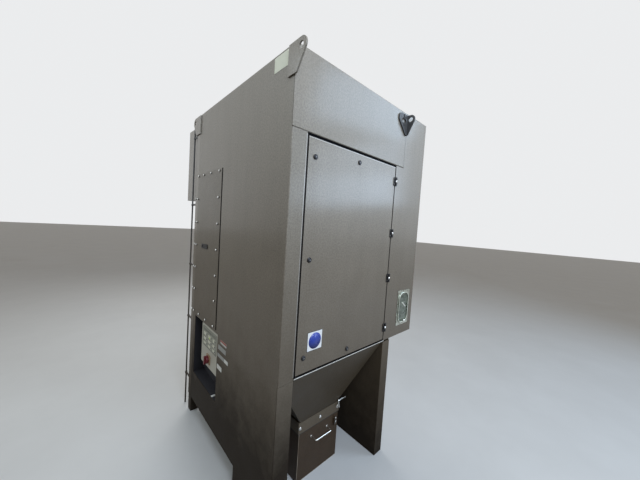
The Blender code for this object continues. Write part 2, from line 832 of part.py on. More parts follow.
def add_inner_walls():
    """Tube sheet, partition and fan deck inside the cabinet."""
    left = SHEET + SEAT
    right = BODY_WIDTH - SHEET - SEAT
    front = frame_back + TUBE_SHEET_SETBACK
    holes = [circle(x, y, cartridge_bore) for x, y in cartridge_places()]
    sheet_plan = rectangle(left, right, front, partition_front - SEAT)
    solid("tube_sheet", prism(sheet_plan, "z", tube_sheet_height, tube_sheet_top, holes), zinc)
    corner = ROOF_LIP + SHEET
    roof_side = 2 * SHEET + 2 * SEAT
    wall = [
        (left, deck_height + SEAT),
        (right, deck_height + SEAT),
        (right, BODY_HEIGHT - corner),
        (BODY_WIDTH - roof_side - SHEET, BODY_HEIGHT - corner),
        (BODY_WIDTH - roof_side - SHEET, BODY_HEIGHT - 2 * SHEET),
        (roof_side + SHEET, BODY_HEIGHT - 2 * SHEET),
        (roof_side + SHEET, BODY_HEIGHT - corner),
        (left, BODY_HEIGHT - corner),
    ]
    eye = circle(middle_x, fan_height, FAN_EYE)
    solid("partition_wall", prism(wall, "y", partition_front, partition_back, [eye]), zinc)
    deck = rectangle(left, right, partition_front, BODY_DEPTH - SHEET - SEAT)
    deck = filleted(deck, [0, 0, 2 * BEND, 2 * BEND], True)
    solid("fan_deck", prism(deck, "z", deck_height - SHEET, deck_height), zinc)


def cartridge_places():
    half = cartridge_pitch_x / 2
    rows = (cartridge_front_y, cartridge_back_y)
    return [(middle_x + side * half, y) for y in rows for side in (-1, 1)]


def add_cartridges():
    """Pleated filter cartridges, hung from the tube sheet."""
    top = tube_sheet_height - SEAT
    foot = top - cartridge_length
    cap = CARTRIDGE_CAP
    for number, (x, y) in enumerate(cartridge_places(), 1):
        star = []
        for i in range(CARTRIDGE_PLEATS * 2):
            angle = math.pi * i / CARTRIDGE_PLEATS
            radius = cartridge_radius - PLEAT_DEEP * (i % 2)
            star.append((x + radius * math.cos(angle), y + radius * math.sin(angle)))
        pleats = prism(star, "z", foot + cap / 2, top - cap / 2)
        node = solid(f"filter_cartridge_{number}", pleats, media, (x, y, top))
        flange = prism(circle(x, y, cartridge_flange), "z", top - cap, top)
        base = prism(circle(x, y, cartridge_radius + CARTRIDGE_RIM), "z", foot, foot + cap)
        join(node, flange, base)
        cut(node, prism(circle(x, y, cartridge_bore), "z", foot + cap * 0.75, top + cap))


def add_pulse_cleaning():
    """Air tank over the tube sheet, welded up with its feet and its blow tubes."""
    left = TANK_END
    right = BODY_WIDTH - TANK_END
    dome = TANK_RADIUS * 0.5
    profile = [(0, left), (TANK_RADIUS * 0.6, left + dome * 0.15), (TANK_RADIUS * 0.9, left + dome * 0.5)]
    profile += [(TANK_RADIUS, left + dome), (TANK_RADIUS, right - dome)]
    profile += [(TANK_RADIUS * 0.9, right - dome * 0.5), (TANK_RADIUS * 0.6, right - dome * 0.15), (0, right)]
    tank = solid("pulse_tank", turned(profile, "x", TANK_Y, tank_height), motor_paint)
    reach = TANK_RADIUS * 1.2
    for x in (left + reach, right - reach):
        saddle = block(
            x - SADDLE_THICK / 2,
            x + SADDLE_THICK / 2,
            TANK_Y - TANK_RADIUS * 0.7,
            TANK_Y + TANK_RADIUS * 0.7,
            tube_sheet_top + SEAT,
            tank_height - TANK_RADIUS * 0.6,
        )
        join(tank, saddle)
    far = cartridge_back_y + NOZZLE_RADIUS * 3
    for side in (-1, 1):
        x = middle_x + side * cartridge_pitch_x / 2
        start = TANK_Y + TANK_RADIUS * 0.8
        turn = TANK_Y + TANK_RADIUS + NOZZLE_RADIUS * 3.5
        line = [(start, tank_height), (turn, tank_height), (turn, nozzle_height), (far, nozzle_height)]
        path = filleted(line, [NOZZLE_RADIUS * 2.5] * len(line), False, 5)
        join(tank, swept([(x, y, z) for y, z in path], NOZZLE_RADIUS, (1, 0, 0)))


def spiral(inner, outer, steps=FACETS):
    """Scroll outline that grows through most of a turn and leaves downwards."""
    points = []
    for i in range(steps + 1):
        share = i / steps
        angle = math.radians(SCROLL_START + SCROLL_TURN * share)
        radius = inner + (outer - inner) * share
        points.append((middle_x + radius * math.cos(angle), fan_height + radius * math.sin(angle)))
    return points


def add_fan():
    """Scroll casing on the partition, bladed wheel on the motor shaft, motor behind."""
    drop = fan_height - FAN_OUTER * 1.35
    outer = spiral(FAN_INNER + SHEET, FAN_OUTER + SHEET)
    first, last = outer[0], outer[-1]
    outer = outer + [(last[0], drop), (first[0], drop)]
    casing = solid("fan_casing", prism(outer, "y", casing_front, casing_back), motor_paint)
    inner = spiral(FAN_INNER, FAN_OUTER)
    start, end = inner[0], inner[-1]
    low = drop - SHEET
    hollow = inner + [(last[0] + SHEET, low), (first[0] - SHEET, low)]
    hollow[len(inner) - 1] = (last[0] + SHEET, end[1])
    hollow[0] = (first[0] - SHEET, start[1])
    bored = circle(middle_x, fan_height, FAN_EYE)
    shaft_hole = circle(middle_x, fan_height, SHAFT_RADIUS * 1.6, FACETS_SMALL)
    cut(
        casing,
        prism(hollow, "y", casing_front + SHEET, casing_back - SHEET),
        prism(bored, "y", casing_front - SHEET, casing_front + 2 * SHEET),
        prism(shaft_hole, "y", casing_back - 2 * SHEET, casing_back + SHEET),
    )
    centre = (middle_x, wheel_back, fan_height)
    plate = WHEEL_PLATE
    hub = [
        (SHAFT_RADIUS + SEAT, wheel_back),
        (WHEEL_RADIUS, wheel_back),
        (WHEEL_RADIUS, wheel_back - plate),
        (SHAFT_RADIUS * 2.5, wheel_back - plate),
        (SHAFT_RADIUS * 2, wheel_back - plate * 6),
        (SHAFT_RADIUS + SEAT, wheel_back - plate * 6),
    ]
    wheel = solid("fan_wheel", turned(hub, "y", middle_x, fan_height, FACETS_LARGE), zinc, centre)
    blades_from = wheel_front + plate / 2
    for i in range(WHEEL_BLADES):
        turn = 2 * math.pi * i / WHEEL_BLADES
        join(wheel, prism(blade_outline(turn), "y", blades_from, wheel_back - plate / 2))
    shroud = [
        (FAN_EYE * 0.88, wheel_front),
        (WHEEL_RADIUS, wheel_front),
        (WHEEL_RADIUS, wheel_front + plate),
        (FAN_EYE * 0.88, wheel_front + plate),
    ]
    join(wheel, turned(shroud, "y", middle_x, fan_height, FACETS_LARGE))
    body = casing_back + SEAT
    shaft_tip = wheel_back - plate * 6
    motor_end = body + MOTOR_LENGTH
    profile = [
        (0, shaft_tip),
        (SHAFT_RADIUS, shaft_tip),
        (SHAFT_RADIUS, body),
        (MOTOR_RADIUS * 1.15, body),
        (MOTOR_RADIUS * 1.15, body + MOTOR_FLANGE),
        (MOTOR_RADIUS * 0.88, body + MOTOR_FLANGE + WHEEL_PLATE),
        (MOTOR_RADIUS * 0.88, motor_end - MOTOR_COWL - BEND),
        (MOTOR_RADIUS, motor_end - MOTOR_COWL),
        (MOTOR_RADIUS, motor_end - MOTOR_ROUND),
        (MOTOR_RADIUS * 0.85, motor_end),
        (0, motor_end),
    ]
    motor = solid("fan_motor", turned(profile, "y", middle_x, fan_height), motor_paint)
    join(motor, prism(fin_outline(), "y", body + MOTOR_FLANGE / 2, motor_end - MOTOR_COWL - SHIM))


def fin_outline():
    """Cross-section of the finned motor frame: narrow ribs round a barrel."""
    points = []
    pitch = 2 * math.pi / MOTOR_FINS
    for i in range(MOTOR_FINS):
        for radius, share in ((0.90, 0.0), (1.0, 0.06), (1.0, 0.34), (0.90, 0.40)):
            angle = pitch * (i + share)
            reach = MOTOR_RADIUS * radius
            points.append((middle_x + reach * math.cos(angle), fan_height + reach * math.sin(angle)))
    return points


def blade_outline(turn):
    """One backward-curved blade of the wheel, from the hub side to the rim."""
    root_radius = FAN_EYE * 0.8
    tip_radius = WHEEL_RADIUS * 0.985
    lean = math.radians(BLADE_LEAN)
    steps = 4
    half = BLADE_THICK / 2
    near = []
    far = []
    for i in range(steps + 1):
        share = i / steps
        radius = root_radius + (tip_radius - root_radius) * share
        angle = turn - lean * share**0.8
        width = half / radius
        for side, row in ((-1, near), (1, far)):
            a = angle + side * width
            row.append((middle_x + radius * math.cos(a), fan_height + radius * math.sin(a)))
    return near + far[::-1]


def add_hopper():
    """Pyramid between the posts. Its left side stands upright further down than its right side."""
    left = LEFT_POST + SEAT
    right = BODY_WIDTH - RIGHT_POST - SEAT
    top = SILL_TOP - SILL_DROP - 2 * SEAT
    foot = collar_top + SEAT
    front_top = HOPPER_SETBACK
    back_top = partition_front - HOPPER_BACK_GAP
    left_skirt = SILL_TOP - HOPPER_LEFT_SKIRT
    right_skirt = SILL_TOP - HOPPER_RIGHT_SKIRT
    foot_left = collar_left + COLLAR_MARGIN * 0.7
    foot_right = collar_right - COLLAR_MARGIN * 1.6
    foot_front = COLLAR_FRONT + HOPPER_FOOT_INSET
    foot_back = collar_back - HOPPER_FOOT_INSET

    def ring(height, inset):
        share = (top - height) / (top - foot)
        left_share = max(0, (left_skirt - height) / (left_skirt - foot))
        right_share = max(0, (right_skirt - height) / (right_skirt - foot))
        x0 = left + (foot_left - left) * left_share + inset
        x1 = right + (foot_right - right) * right_share - inset
        y0 = front_top + (foot_front - front_top) * share + inset
        y1 = back_top + (foot_back - back_top) * share - inset
        return [(x0, y0, height), (x1, y0, height), (x1, y1, height), (x0, y1, height)]

    heights = (foot, left_skirt, right_skirt, top)
    wall = SHEET
    outer = [ring(z, 0) for z in heights]
    inner = [ring(z, wall) for z in heights]
    solid("hopper", lofted_shell(outer, inner), coat)


def add_collar():
    """Bolted strip collar under the hopper, its seal and the clamp rod."""
    band = rectangle(collar_left, collar_right, COLLAR_FRONT, collar_back)
    rim = COLLAR_MARGIN
    mouth = rectangle(collar_left + rim, collar_right - rim * 2, COLLAR_FRONT + rim, collar_back - rim)
    solid("hopper_collar", prism(band, "z", COLLAR_BOTTOM, collar_top, [mouth]), coat)
    base = COLLAR_BOTTOM - SEAT
    solid("bin_seal", prism(band, "z", base - SEAL_THICK, base, [mouth]), rubber)
    pivot = (clamp_x, COLLAR_FRONT - SEAT, clamp_height)
    front = COLLAR_FRONT - CLAMP_STANDOFF
    bend_x = clamp_x - CLAMP_LEAN
    high = clamp_height + CLAMP_RISE
    points = [pivot, (clamp_x, front, clamp_height)]
    points += [(bend_x, front, high), (bend_x + CLAMP_REACH, front, high)]
    rod("collar_clamp", points, CLAMP_ROD, steel, CLAMP_BEND, pivot)


def add_bin():
    """Dust bin that stands on the floor under the collar and slides out to the front."""
    body = block(bin_left, bin_right, bin_front, bin_back, 0, bin_top)
    box = solid("dust_bin", body, coat, (middle_x, bin_front, 0))
    wall = BIN_WALL
    cut(
        box,
        block(
            bin_left + wall,
            bin_right - wall,
            bin_front + wall,
            bin_back - wall,
            wall,
            bin_top + wall,
        ),
    )
    middle = (bin_left + bin_right) / 2
    root_y = bin_front - SEAT
    ends = (middle - HANDLE_WIDE / 2, middle + HANDLE_WIDE / 2)
    out = root_y - HANDLE_REACH
    points = [(ends[0], root_y, HANDLE_HEIGHT), (ends[0], out, HANDLE_HEIGHT)]
    points += [(ends[1], out, HANDLE_HEIGHT), (ends[1], root_y, HANDLE_HEIGHT)]
    rod("bin_handle", points, HANDLE_ROD, steel, HANDLE_BEND, (middle, root_y, HANDLE_HEIGHT), box)
    add_latch(box)


def add_latch(box):
    """Toggle latch on the bin: ears on a welded plate, and the lever on a pin between them."""
    half = LATCH_WIDE / 2
    plate = bin_front - LATCH_SHEET
    ear = bin_front - LATCH_EAR
    foot = LATCH_TOP - LATCH_TALL
    pin_z = foot + LATCH_PIN * 6
    pin_y = bin_front - LATCH_EAR * 0.65
    join(box, block(latch_x - half, latch_x + half, plate, bin_front + BIN_WALL / 2, foot, LATCH_TOP))
    cheek = [
        (plate + LATCH_SHEET / 2, pin_z - LATCH_EAR),
        (ear, pin_z - LATCH_PIN * 2),
        (ear, pin_z + LATCH_PIN * 2),
        (plate + LATCH_SHEET / 2, pin_z + LATCH_EAR),
    ]
    for side in (-1, 1):
        x0 = latch_x + side * half
        join(box, prism(cheek, "x", x0, x0 - side * LATCH_SHEET))
    bore = circle(pin_y, pin_z, LATCH_PIN, FACETS_SMALL)
    cut(box, prism(bore, "x", latch_x - LATCH_WIDE, latch_x + LATCH_WIDE))
    inner = half - LATCH_SHEET - SEAT
    face = pin_y - LATCH_PIN
    tip = pin_z + LATCH_LEVER
    arm = LATCH_SHEET
    outline = [
        (pin_y + LATCH_PIN * 1.4, pin_z - LATCH_PIN * 1.3),
        (pin_y + LATCH_PIN * 1.4, pin_z + LATCH_PIN * 1.6),
        (face, pin_z + LATCH_PIN * 2.6),
        (face, tip - 3 * arm),
        (face - 2 * arm, tip),
        (face - 3 * arm, tip),
        (face - arm, tip - 4 * arm),
        (face - arm, pin_z - LATCH_PIN * 1.3),
    ]
    pivot = (latch_x, pin_y, pin_z)
    lever = solid("latch_lever", prism(outline, "x", latch_x - inner, latch_x + inner), steel, pivot, box)
    pin = circle(pin_y, pin_z, LATCH_PIN - SEAT, FACETS_SMALL)
    join(lever, prism(pin, "x", latch_x - half + SEAT, latch_x + half - SEAT))


def add_door():
    """Filter door: a folded pan with a gasket, hung on the right and held by five locks."""
    axis = (hinge_x, hinge_y, door_bottom)
    pan = block(door_left, door_right, 0, DOOR_DEPTH, door_bottom, door_top)
    door = solid("filter_door", pan, coat, axis)
    rim = door.modifiers.new("bend", "BEVEL")
    rim.width = BEND
    rim.segments = 2
    wall = SHEET
    cut(
        door,
        block(
            door_left + wall,
            door_right - wall,
            wall,
            DOOR_DEPTH + wall,
            door_bottom + wall,
            door_top - wall,
        ),
    )
    inset = wall + GASKET_EDGE
    outer = rectangle(door_left + inset, door_right - inset, door_bottom + inset, door_top - inset)
    inset = inset + GASKET_WIDTH
    inner = rectangle(door_left + inset, door_right - inset, door_bottom + inset, door_top - inset)
    gasket_back = frame_back - SHEET - SEAT
    gasket = prism(outer, "y", wall + SEAT, gasket_back, [inner])
    solid("door_gasket", gasket, rubber, axis, door)
    for number, (x, z, toward) in enumerate(lock_places(), 1):
        cut(door, prism(circle(x, z, LOCK_SHAFT + SEAT, FACETS_SMALL), "y", -wall, 2 * wall))
        add_lock(f"door_lock_{number}", x, z, toward, door)
    return door


def lock_places():
    """Each lock with the way its cam points when it is open, along the door's edge."""
    tall = door_top - door_bottom
    left = [(door_left + LOCK_INSET, door_bottom + tall * share, "z") for share in LOCK_HEIGHT_SHARES]
    mid = door_left + (door_right - door_left) * LOCK_WIDTH_SHARE
    top = (mid, door_top - LOCK_TOP_INSET, "x")
    bottom = (mid, door_bottom + LOCK_BOTTOM_INSET, "x")
    return [left[0], top, left[1], left[2], bottom]


def add_lock(name, x, z, toward, door):
    cam_front = frame_back + CAM_GAP
    cam_back = cam_front + CAM_THICK
    profile = [
        (0, -LOCK_PROUD),
        (LOCK_RADIUS * 0.75, -LOCK_PROUD),
        (LOCK_RADIUS, -LOCK_PROUD * 0.6),
        (LOCK_RADIUS, -SEAT),
        (LOCK_SHAFT, -SEAT),
        (LOCK_SHAFT, cam_back + LOCK_TAIL),
        (0, cam_back + LOCK_TAIL),
    ]
    lock = solid(name, turned(profile, "y", x, z, FACETS_SMALL), zinc, (x, 0, z), door)
    half = CAM_WIDTH / 2
    if toward == "z":
        arm = rectangle(x - half, x + half, z - LOCK_CAM, z + half)
    else:
        arm = rectangle(x - half, x + LOCK_CAM, z - half, z + half)
    join(lock, prism(filleted(arm, [half * 0.6] * 4, True, 2), "y", cam_front, cam_back))
    slot = rectangle(x - LOCK_RADIUS * 0.55, x + LOCK_RADIUS * 0.55, z - LOCK_SLOT / 2, z + LOCK_SLOT / 2)
    cut(lock, prism(slot, "y", -LOCK_PROUD - LOCK_SLOT, -LOCK_PROUD + LOCK_SLOT_DEEP))


def add_hinges(door):
    """Four block hinges: the post leaf holds the pin, the door leaf turns on it."""
    face = -SEAT
    third = HINGE_TALL / 3
    for number, share in enumerate(HINGE_HEIGHT_SHARES, 1):
        height = door_bottom + (door_top - door_bottom) * share
        low = height - HINGE_TALL / 2
        high = height + HINGE_TALL / 2
        mid_low = low + third
        mid_high = high - third
        inner = KNUCKLE_RADIUS + 2 * SEAT
        outer = inner + LEAF_WIDE
        lap = inner + LEAF_WIDE / 3
        post = solid(
            f"hinge_post_leaf_{number}",
            block(hinge_x + inner, hinge_x + outer, face - LEAF_THICK, face, low, high),
            black_plastic,
            (hinge_x, hinge_y, low),
        )
        barrel = circle(hinge_x, hinge_y, KNUCKLE_RADIUS, FACETS_SMALL)
        web = rectangle(hinge_x, hinge_x + lap, hinge_y - LEAF_THICK / 2, face - LEAF_THICK / 4)
        for z0, z1 in ((low, mid_low - SEAT), (mid_high + SEAT, high)):
            join(post, prism(web, "z", z0, z1), prism(barrel, "z", z0, z1))
        pin = circle(hinge_x, hinge_y, PIN_RADIUS, FACETS_SMALL)
        join(post, prism(pin, "z", low + third / 2, high - third / 2))
        leaf = solid(
            f"hinge_door_leaf_{number}",
            block(hinge_x - outer, hinge_x - inner, face - LEAF_THICK, face, low, high),
            black_plastic,
            (hinge_x, hinge_y, low),
            door,
        )
        web = rectangle(hinge_x - lap, hinge_x, hinge_y - LEAF_THICK / 2, face - LEAF_THICK / 4)
        z0 = mid_low + SEAT
        z1 = mid_high - SEAT
        join(leaf, prism(web, "z", z0, z1), prism(barrel, "z", z0, z1))
        bore = circle(hinge_x, hinge_y, PIN_RADIUS + SEAT, FACETS_SMALL)
        cut(leaf, prism(bore, "z", low, high))


def add_service_cover():
    """Screwed cover over the fan compartment, with its flush grip."""
    front = -SEAT
    plate = rectangle(cover_front, wrap_front - SEAM, cover_bottom, cover_top)
    solid("service_cover", prism(plate, "x", front - COVER_THICK, front), coat)
    face = front - COVER_THICK - SEAT
    low = grip_height - GRIP_TALL / 2
    high = grip_height + GRIP_TALL / 2
    rim = GRIP_RIM
    proud = GRIP_PROUD
    outline = rounded_rectangle(grip_front, grip_front + GRIP_WIDE, low, high, GRIP_CORNER)
    grip = solid("cover_grip", prism(outline, "x", face - proud, face), black_plastic)
    pocket = rounded_rectangle(grip_front + rim, grip_front + GRIP_WIDE - rim, low + rim, high - rim, rim / 2)
    cut(grip, prism(pocket, "x", face - proud * 2, face - proud * 0.3))


def add_recess():
    """Tray let into the left face, and the control box that hangs in its upper front corner."""
    lip = TRAY_LIP
    near = SHEET + SEAT
    deep = near + RECESS_DEPTH
    tray = solid(
        "recess_tray",
        block(near, deep, recess_front - lip, recess_back + lip, recess_bottom - lip, recess_top + lip),
        dark_coat,
    )
    cut(
        tray,
        block(
            near - SHEET,
            deep - SHEET,
            recess_front,
            recess_back,
            recess_bottom,
            recess_top,
        ),
    )
    housing_front = SEAT + CONTROL_PANEL_THICK
    housing_back = deep - SHEET - SEAT
    y0 = control_left
    y1 = control_left + CONTROL_WIDE
    wall = CONTROL_WALL
    box = solid("control_box", block(housing_front, housing_back, y0, y1, control_bottom, control_top), beige)
    cut(
        box,
        block(
            housing_front - wall,
            housing_back - wall,
            y0 + wall,
            y1 - wall,
            control_bottom + wall,
            control_top - wall,
        ),
    )
    stem = KNOB_RADIUS * 0.35
    panel_outline = rounded_rectangle(y0, y1, control_bottom, control_top, CONTROL_CORNER, 2)
    stem_hole = circle(switch_y, switch_height, stem + SEAT)
    panel = prism(panel_outline, "x", 0, CONTROL_PANEL_THICK, [stem_hole])
    solid("control_panel", panel, beige)
    half = SWITCH_PLATE / 2
    base = rounded_rectangle(
        switch_y - half,
        switch_y + half,
        switch_height - half,
        switch_height + half,
        SWITCH_CORNER,
    )
    plate_face = -SEAT - SWITCH_PLATE_THICK
    solid("switch_plate", prism(base, "x", plate_face, -SEAT, [stem_hole]), yellow)
    back = plate_face - SEAT
    tip = -KNOB_PROUD - SEAT
    disc = tip + KNOB_GRIP_PROUD
    stem_end = CONTROL_PANEL_THICK + KNOB_STEM_END
    profile = [
        (0, disc),
        (KNOB_RADIUS * 0.92, disc),
        (KNOB_RADIUS, disc + KNOB_ROUND),
        (KNOB_RADIUS, back),
        (stem, back),
        (stem, stem_end),
        (0, stem_end),
    ]
    centre = (0, switch_y, switch_height)
    knob = solid("main_switch", turned(profile, "x", switch_y, switch_height), red, centre)
    half = KNOB_GRIP / 2
    grip = rounded_rectangle(
        switch_y - half,
        switch_y + half,
        switch_height - KNOB_RADIUS * 1.25,
        switch_height + KNOB_RADIUS * 1.25,
        half * 0.97,
    )
    join(knob, prism(grip, "x", tip, back - KNOB_ROUND))


def lug_outline(lap, reach, top, bottom, eye):
    """Side view of a lug: a flat part on the face, and an ear that leans out to its eye."""
    centre = (-(reach - eye), top - eye)
    points = [(lap, bottom), (lap, top)]
    for i in range(LUG_ARC_STEPS + 1):
        angle = math.radians(90 + LUG_ARC_TURN * i / LUG_ARC_STEPS)
        points.append((centre[0] + eye * math.cos(angle), centre[1] + eye * math.sin(angle)))
    points.append((-LUG_FOOT_REACH, bottom + LUG_FOOT_RISE))
    points.append((LUG_FOOT_RISE - LUG_FOOT_REACH, bottom))
    hole = circle(centre[0], centre[1], LUG_HOLE, FACETS_SMALL)
    return points, hole


def add_lugs():
    """Plates on the left and right faces, and the angle bracket over the wing seam."""
    ear, hole = lug_outline(LUG_LAP_FRONT, LUG_REACH, lug_top, lug_bottom, LUG_EYE)
    solid("lifting_lug_front_left", prism(ear, "x", -SEAT - LUG_PLATE, -SEAT, [hole]), coat)
    ear, hole = lug_outline(LUG_LAP_REAR, LUG_REACH, lug_top, lug_bottom, LUG_EYE)
    rear_ear = [(BODY_DEPTH - y, z) for y, z in ear]
    rear_hole = [(BODY_DEPTH - y, z) for y, z in hole]
    faces = {"left": -SEAT - LUG_PLATE, "right": BODY_WIDTH + SEAT}
    for side, x in faces.items():
        plate = prism(rear_ear, "x", x, x + LUG_PLATE, [rear_hole])
        solid(f"lifting_lug_rear_{side}", plate, coat)
    thick = LUG_PLATE
    front = -SEAT
    flat, _ = lug_outline(thick, BRACKET_LEFT_REACH, bracket_top, bracket_bottom, LUG_EYE)
    flat = [(BODY_WIDTH + x, z) for x, z in flat]
    slot_x = BODY_WIDTH - BRACKET_SLOT_INSET
    slot_z = bracket_top - BRACKET_SLOT_DROP
    flat_hole = rounded_rectangle(
        slot_x - BRACKET_SLOT_WIDE / 2,
        slot_x + BRACKET_SLOT_WIDE / 2,
        slot_z - BRACKET_SLOT_TALL / 2,
        slot_z + BRACKET_SLOT_TALL / 2,
        BRACKET_SLOT_TALL * 0.45,
    )
    bracket = prism(flat, "y", front - thick, front, [flat_hole])
    node = solid("lifting_bracket_front_right", bracket, dark_coat)
    side, side_hole = lug_outline(-SHIM, BRACKET_RIGHT_REACH, bracket_top, bracket_bottom, LUG_EYE * 0.85)
    join(node, prism(side, "x", BODY_WIDTH - SHIM, BODY_WIDTH + thick - SHIM, [side_hole]))


def add_inspection_cover():
    """Zinc cover plate on the wing, pressed with a raised oval rim."""
    face = -SEAT
    right = plate_left + PLATE_WIDE
    top = plate_bottom + PLATE_TALL
    outline = rounded_rectangle(plate_left, right, plate_bottom, top, PLATE_CORNER)
    plate = solid("inspection_plate", prism(outline, "y", face - PLATE_THICK, face), zinc)
    back = face - PLATE_THICK / 2
    rims = []
    for inset, radius in ((0, 1), (DISH_RIM, 0.8)):
        gap = DISH_MARGIN + inset
        outline = rounded_rectangle(
            plate_left + gap,
            right - gap,
            plate_bottom + gap,
            top - gap,
            DISH_RADIUS * radius,
            6,
        )
        rims.append(outline)
    join(plate, prism(rims[0], "y", back - DISH_PROUD, back))
    cut(plate, prism(rims[1], "y", back - DISH_PROUD * 2, face - PLATE_THICK))


def add_air_pipe():
    """Compressed-air pipe behind the rear left corner, with the clips that hold it to the back sheet."""
    line = circle(PIPE_X, pipe_y, PIPE_RADIUS, FACETS_TUBE)
    pipe = solid("air_pipe", prism(line, "z", SEAT, pipe_top), dark_coat, (PIPE_X, pipe_y, SEAT))
    ring = PIPE_RADIUS + CLIP_BAND
    half = CLIP_WIDE / 2
    gap = math.asin(half / ring)
    turn = 2 * math.pi - 2 * gap
    angles = [-math.pi / 2 + gap + turn * i / FACETS_TUBE for i in range(FACETS_TUBE + 1)]
    strap = [(PIPE_X - half, BODY_DEPTH + SEAT), (PIPE_X + half, BODY_DEPTH + SEAT)]
    outline = strap + [(PIPE_X + ring * math.cos(t), pipe_y + ring * math.sin(t)) for t in angles]
    for share in CLIP_HEIGHT_SHARES:
        height = BODY_HEIGHT * share
        join(pipe, prism(outline, "z", height - CLIP_TALL / 2, height + CLIP_TALL / 2))


add_side_panels()
add_front()
add_wing()
add_roof_and_back()
add_outlet_cowl()
add_legs()
add_inner_walls()
add_cartridges()
add_pulse_cleaning()
add_fan()
add_hopper()
add_collar()
add_bin()
filter_door = add_door()
add_hinges(filter_door)
add_service_cover()
add_recess()
add_lugs()
add_inspection_cover()
add_air_pipe()
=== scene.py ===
"""Looks of a cartridge dust collector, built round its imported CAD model.

Machine coordinates, as in the drawings of the cabinet: x runs right from the left face, y back
from the front of the door, z up from the floor, in metres. place() turns them into the frame's
coordinates. Angles are in degrees and colours are linear.
"""

import json
import math

import bmesh
import bpy
from mathutils import Matrix, Vector


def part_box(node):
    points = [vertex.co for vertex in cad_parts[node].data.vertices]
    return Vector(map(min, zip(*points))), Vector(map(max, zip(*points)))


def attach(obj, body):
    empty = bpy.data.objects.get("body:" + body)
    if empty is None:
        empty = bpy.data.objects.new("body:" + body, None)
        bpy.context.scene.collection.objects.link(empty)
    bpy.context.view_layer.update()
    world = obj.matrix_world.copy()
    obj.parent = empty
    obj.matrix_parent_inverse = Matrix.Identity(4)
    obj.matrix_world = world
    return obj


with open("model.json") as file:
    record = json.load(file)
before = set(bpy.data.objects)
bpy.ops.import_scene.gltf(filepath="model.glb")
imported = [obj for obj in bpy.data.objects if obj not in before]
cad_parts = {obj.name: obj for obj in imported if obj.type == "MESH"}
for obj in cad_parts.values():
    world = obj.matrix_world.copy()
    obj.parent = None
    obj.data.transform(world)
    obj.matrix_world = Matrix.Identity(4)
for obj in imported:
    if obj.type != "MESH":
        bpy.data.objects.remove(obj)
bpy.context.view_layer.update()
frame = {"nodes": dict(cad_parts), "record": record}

# Outward directions of the two faces that carry pieces
LEFT = (-1, 0, 0)
FRONT = (0, -1, 0)

# Camera
CAMERA_PLACE = (-0.6942, -0.9772, 1.6000)
CAMERA_HEADING = 42.80
CAMERA_PITCH = -3.01
CAMERA_ROLL = 3.655
CAMERA_LENS = 14.70
SENSOR_WIDTH = 36.0
CLIP_START = 0.05

# Soft panels, in the frame's coordinates: name, place, target, size, power, colour, roll
LAMPS = (
    ("low_band", (3.99, -5.0, 2.62), (0.1, -0.75, 2.62), (3.2, 0.85), 31, (0.62, 0.79, 1.0), 5.0),
    ("tall_panel", (4.4, -4.6, 3.07), (0.1, -0.75, 2.6), (2.6, 1.75), 50, (0.62, 0.79, 1.0), 5.0),
    ("upper_panel", (3.75, -3.9, 4.6), (0, -0.75, 2.3), (2.5, 1.15), 50, (0.58, 0.77, 1.0), -14.0),
    ("over_front", (-0.75, -3.0, 3.6), (-0.1, -0.75, 1.5), (2.4, 1.6), 106, (0.73, 0.85, 1.0), 0),
    ("over_left", (-3.1, 0.7, 3.4), (-0.63, 0.2, 1.8), (2.4, 1.8), 33, (0.78, 0.92, 1.0), 0),
    ("over_back", (1.0, 3.4, 4.3), (0, 0.4, 1.6), (3.0, 2.0), 90, (0.96, 0.98, 1.0), 0),
)

# World and floor
BACKDROP = (0.83, 0.84, 0.85)
BACKDROP_STRENGTH = 1.0
FILL = (0.95, 0.87, 0.76)
FILL_STRENGTH = 0.23
FLOOR_COLOURS = ((0.60, 0.60, 0.59), (0.66, 0.66, 0.65))
FLOOR_BOUNCE = (0.09, 0.078, 0.062)
FLOOR_CLOUD = (1.3, 4.0, 0.6)
FLOOR_REACH = 40
FLOOR_DROP = 0.0005

# Clearance between a piece and what carries it, thin sheets, and the CAD nodes' rounded edges
SKIN = 0.0004
FILM_THICK = 0.0006
FILM_SLOPE = 0.3
PATCH_THICK = 0.5 * FILM_THICK
LIP_THICK = 0.0002
STRIP_CORNER = 0.2
EDGE_ROUND = 0.0009
EDGE_ANGLE = 50.0
WELD_REACH = 0.00001

# Ranges of noise values that are spread over a whole scale
NOISE_RANGE = (0.3, 0.7)
CLOUD_RANGE = (0.35, 0.65)

# Powder coat: noises as (scale, detail, roughness), their ranges and shares in the tone, and shine
GRAIN = (330.0, 3.0, 0.7)
SPECK = (110.0, 2.0, 0.6)
BLOTCH = (7.0, 4.0, 0.55)
STREAK = (3.0, 3.0, 0.6)
STREAK_STRETCH = (6.0, 6.0, 0.7)
GRAIN_RANGE = (0.36, 0.64)
SPECK_RANGE = (0.38, 0.62)
GRAIN_SHARE = 0.38
SPECK_SHARE = 0.36
BLOTCH_SHARE = 0.14
STREAK_SHARE = 0.12
COAT_SPECULAR = 0.3
COAT_ROUGHNESS = (0.38, 0.47)
CLEAR_ROUGHNESS = 0.11

# Bumps of the coat: noise of the sheet waves, scale of the cells, then (strength, distance)
WAVE = (1.7, 1.0, 0.4)
WAVE_BUMP = (0.22, 0.004)
CELL_SCALE = 280.0
CELL_BUMP = (0.42, 0.0009)
SPECK_BUMP = (0.30, 0.0016)
CLEAR_BUMP = (0.23, 0.0016)

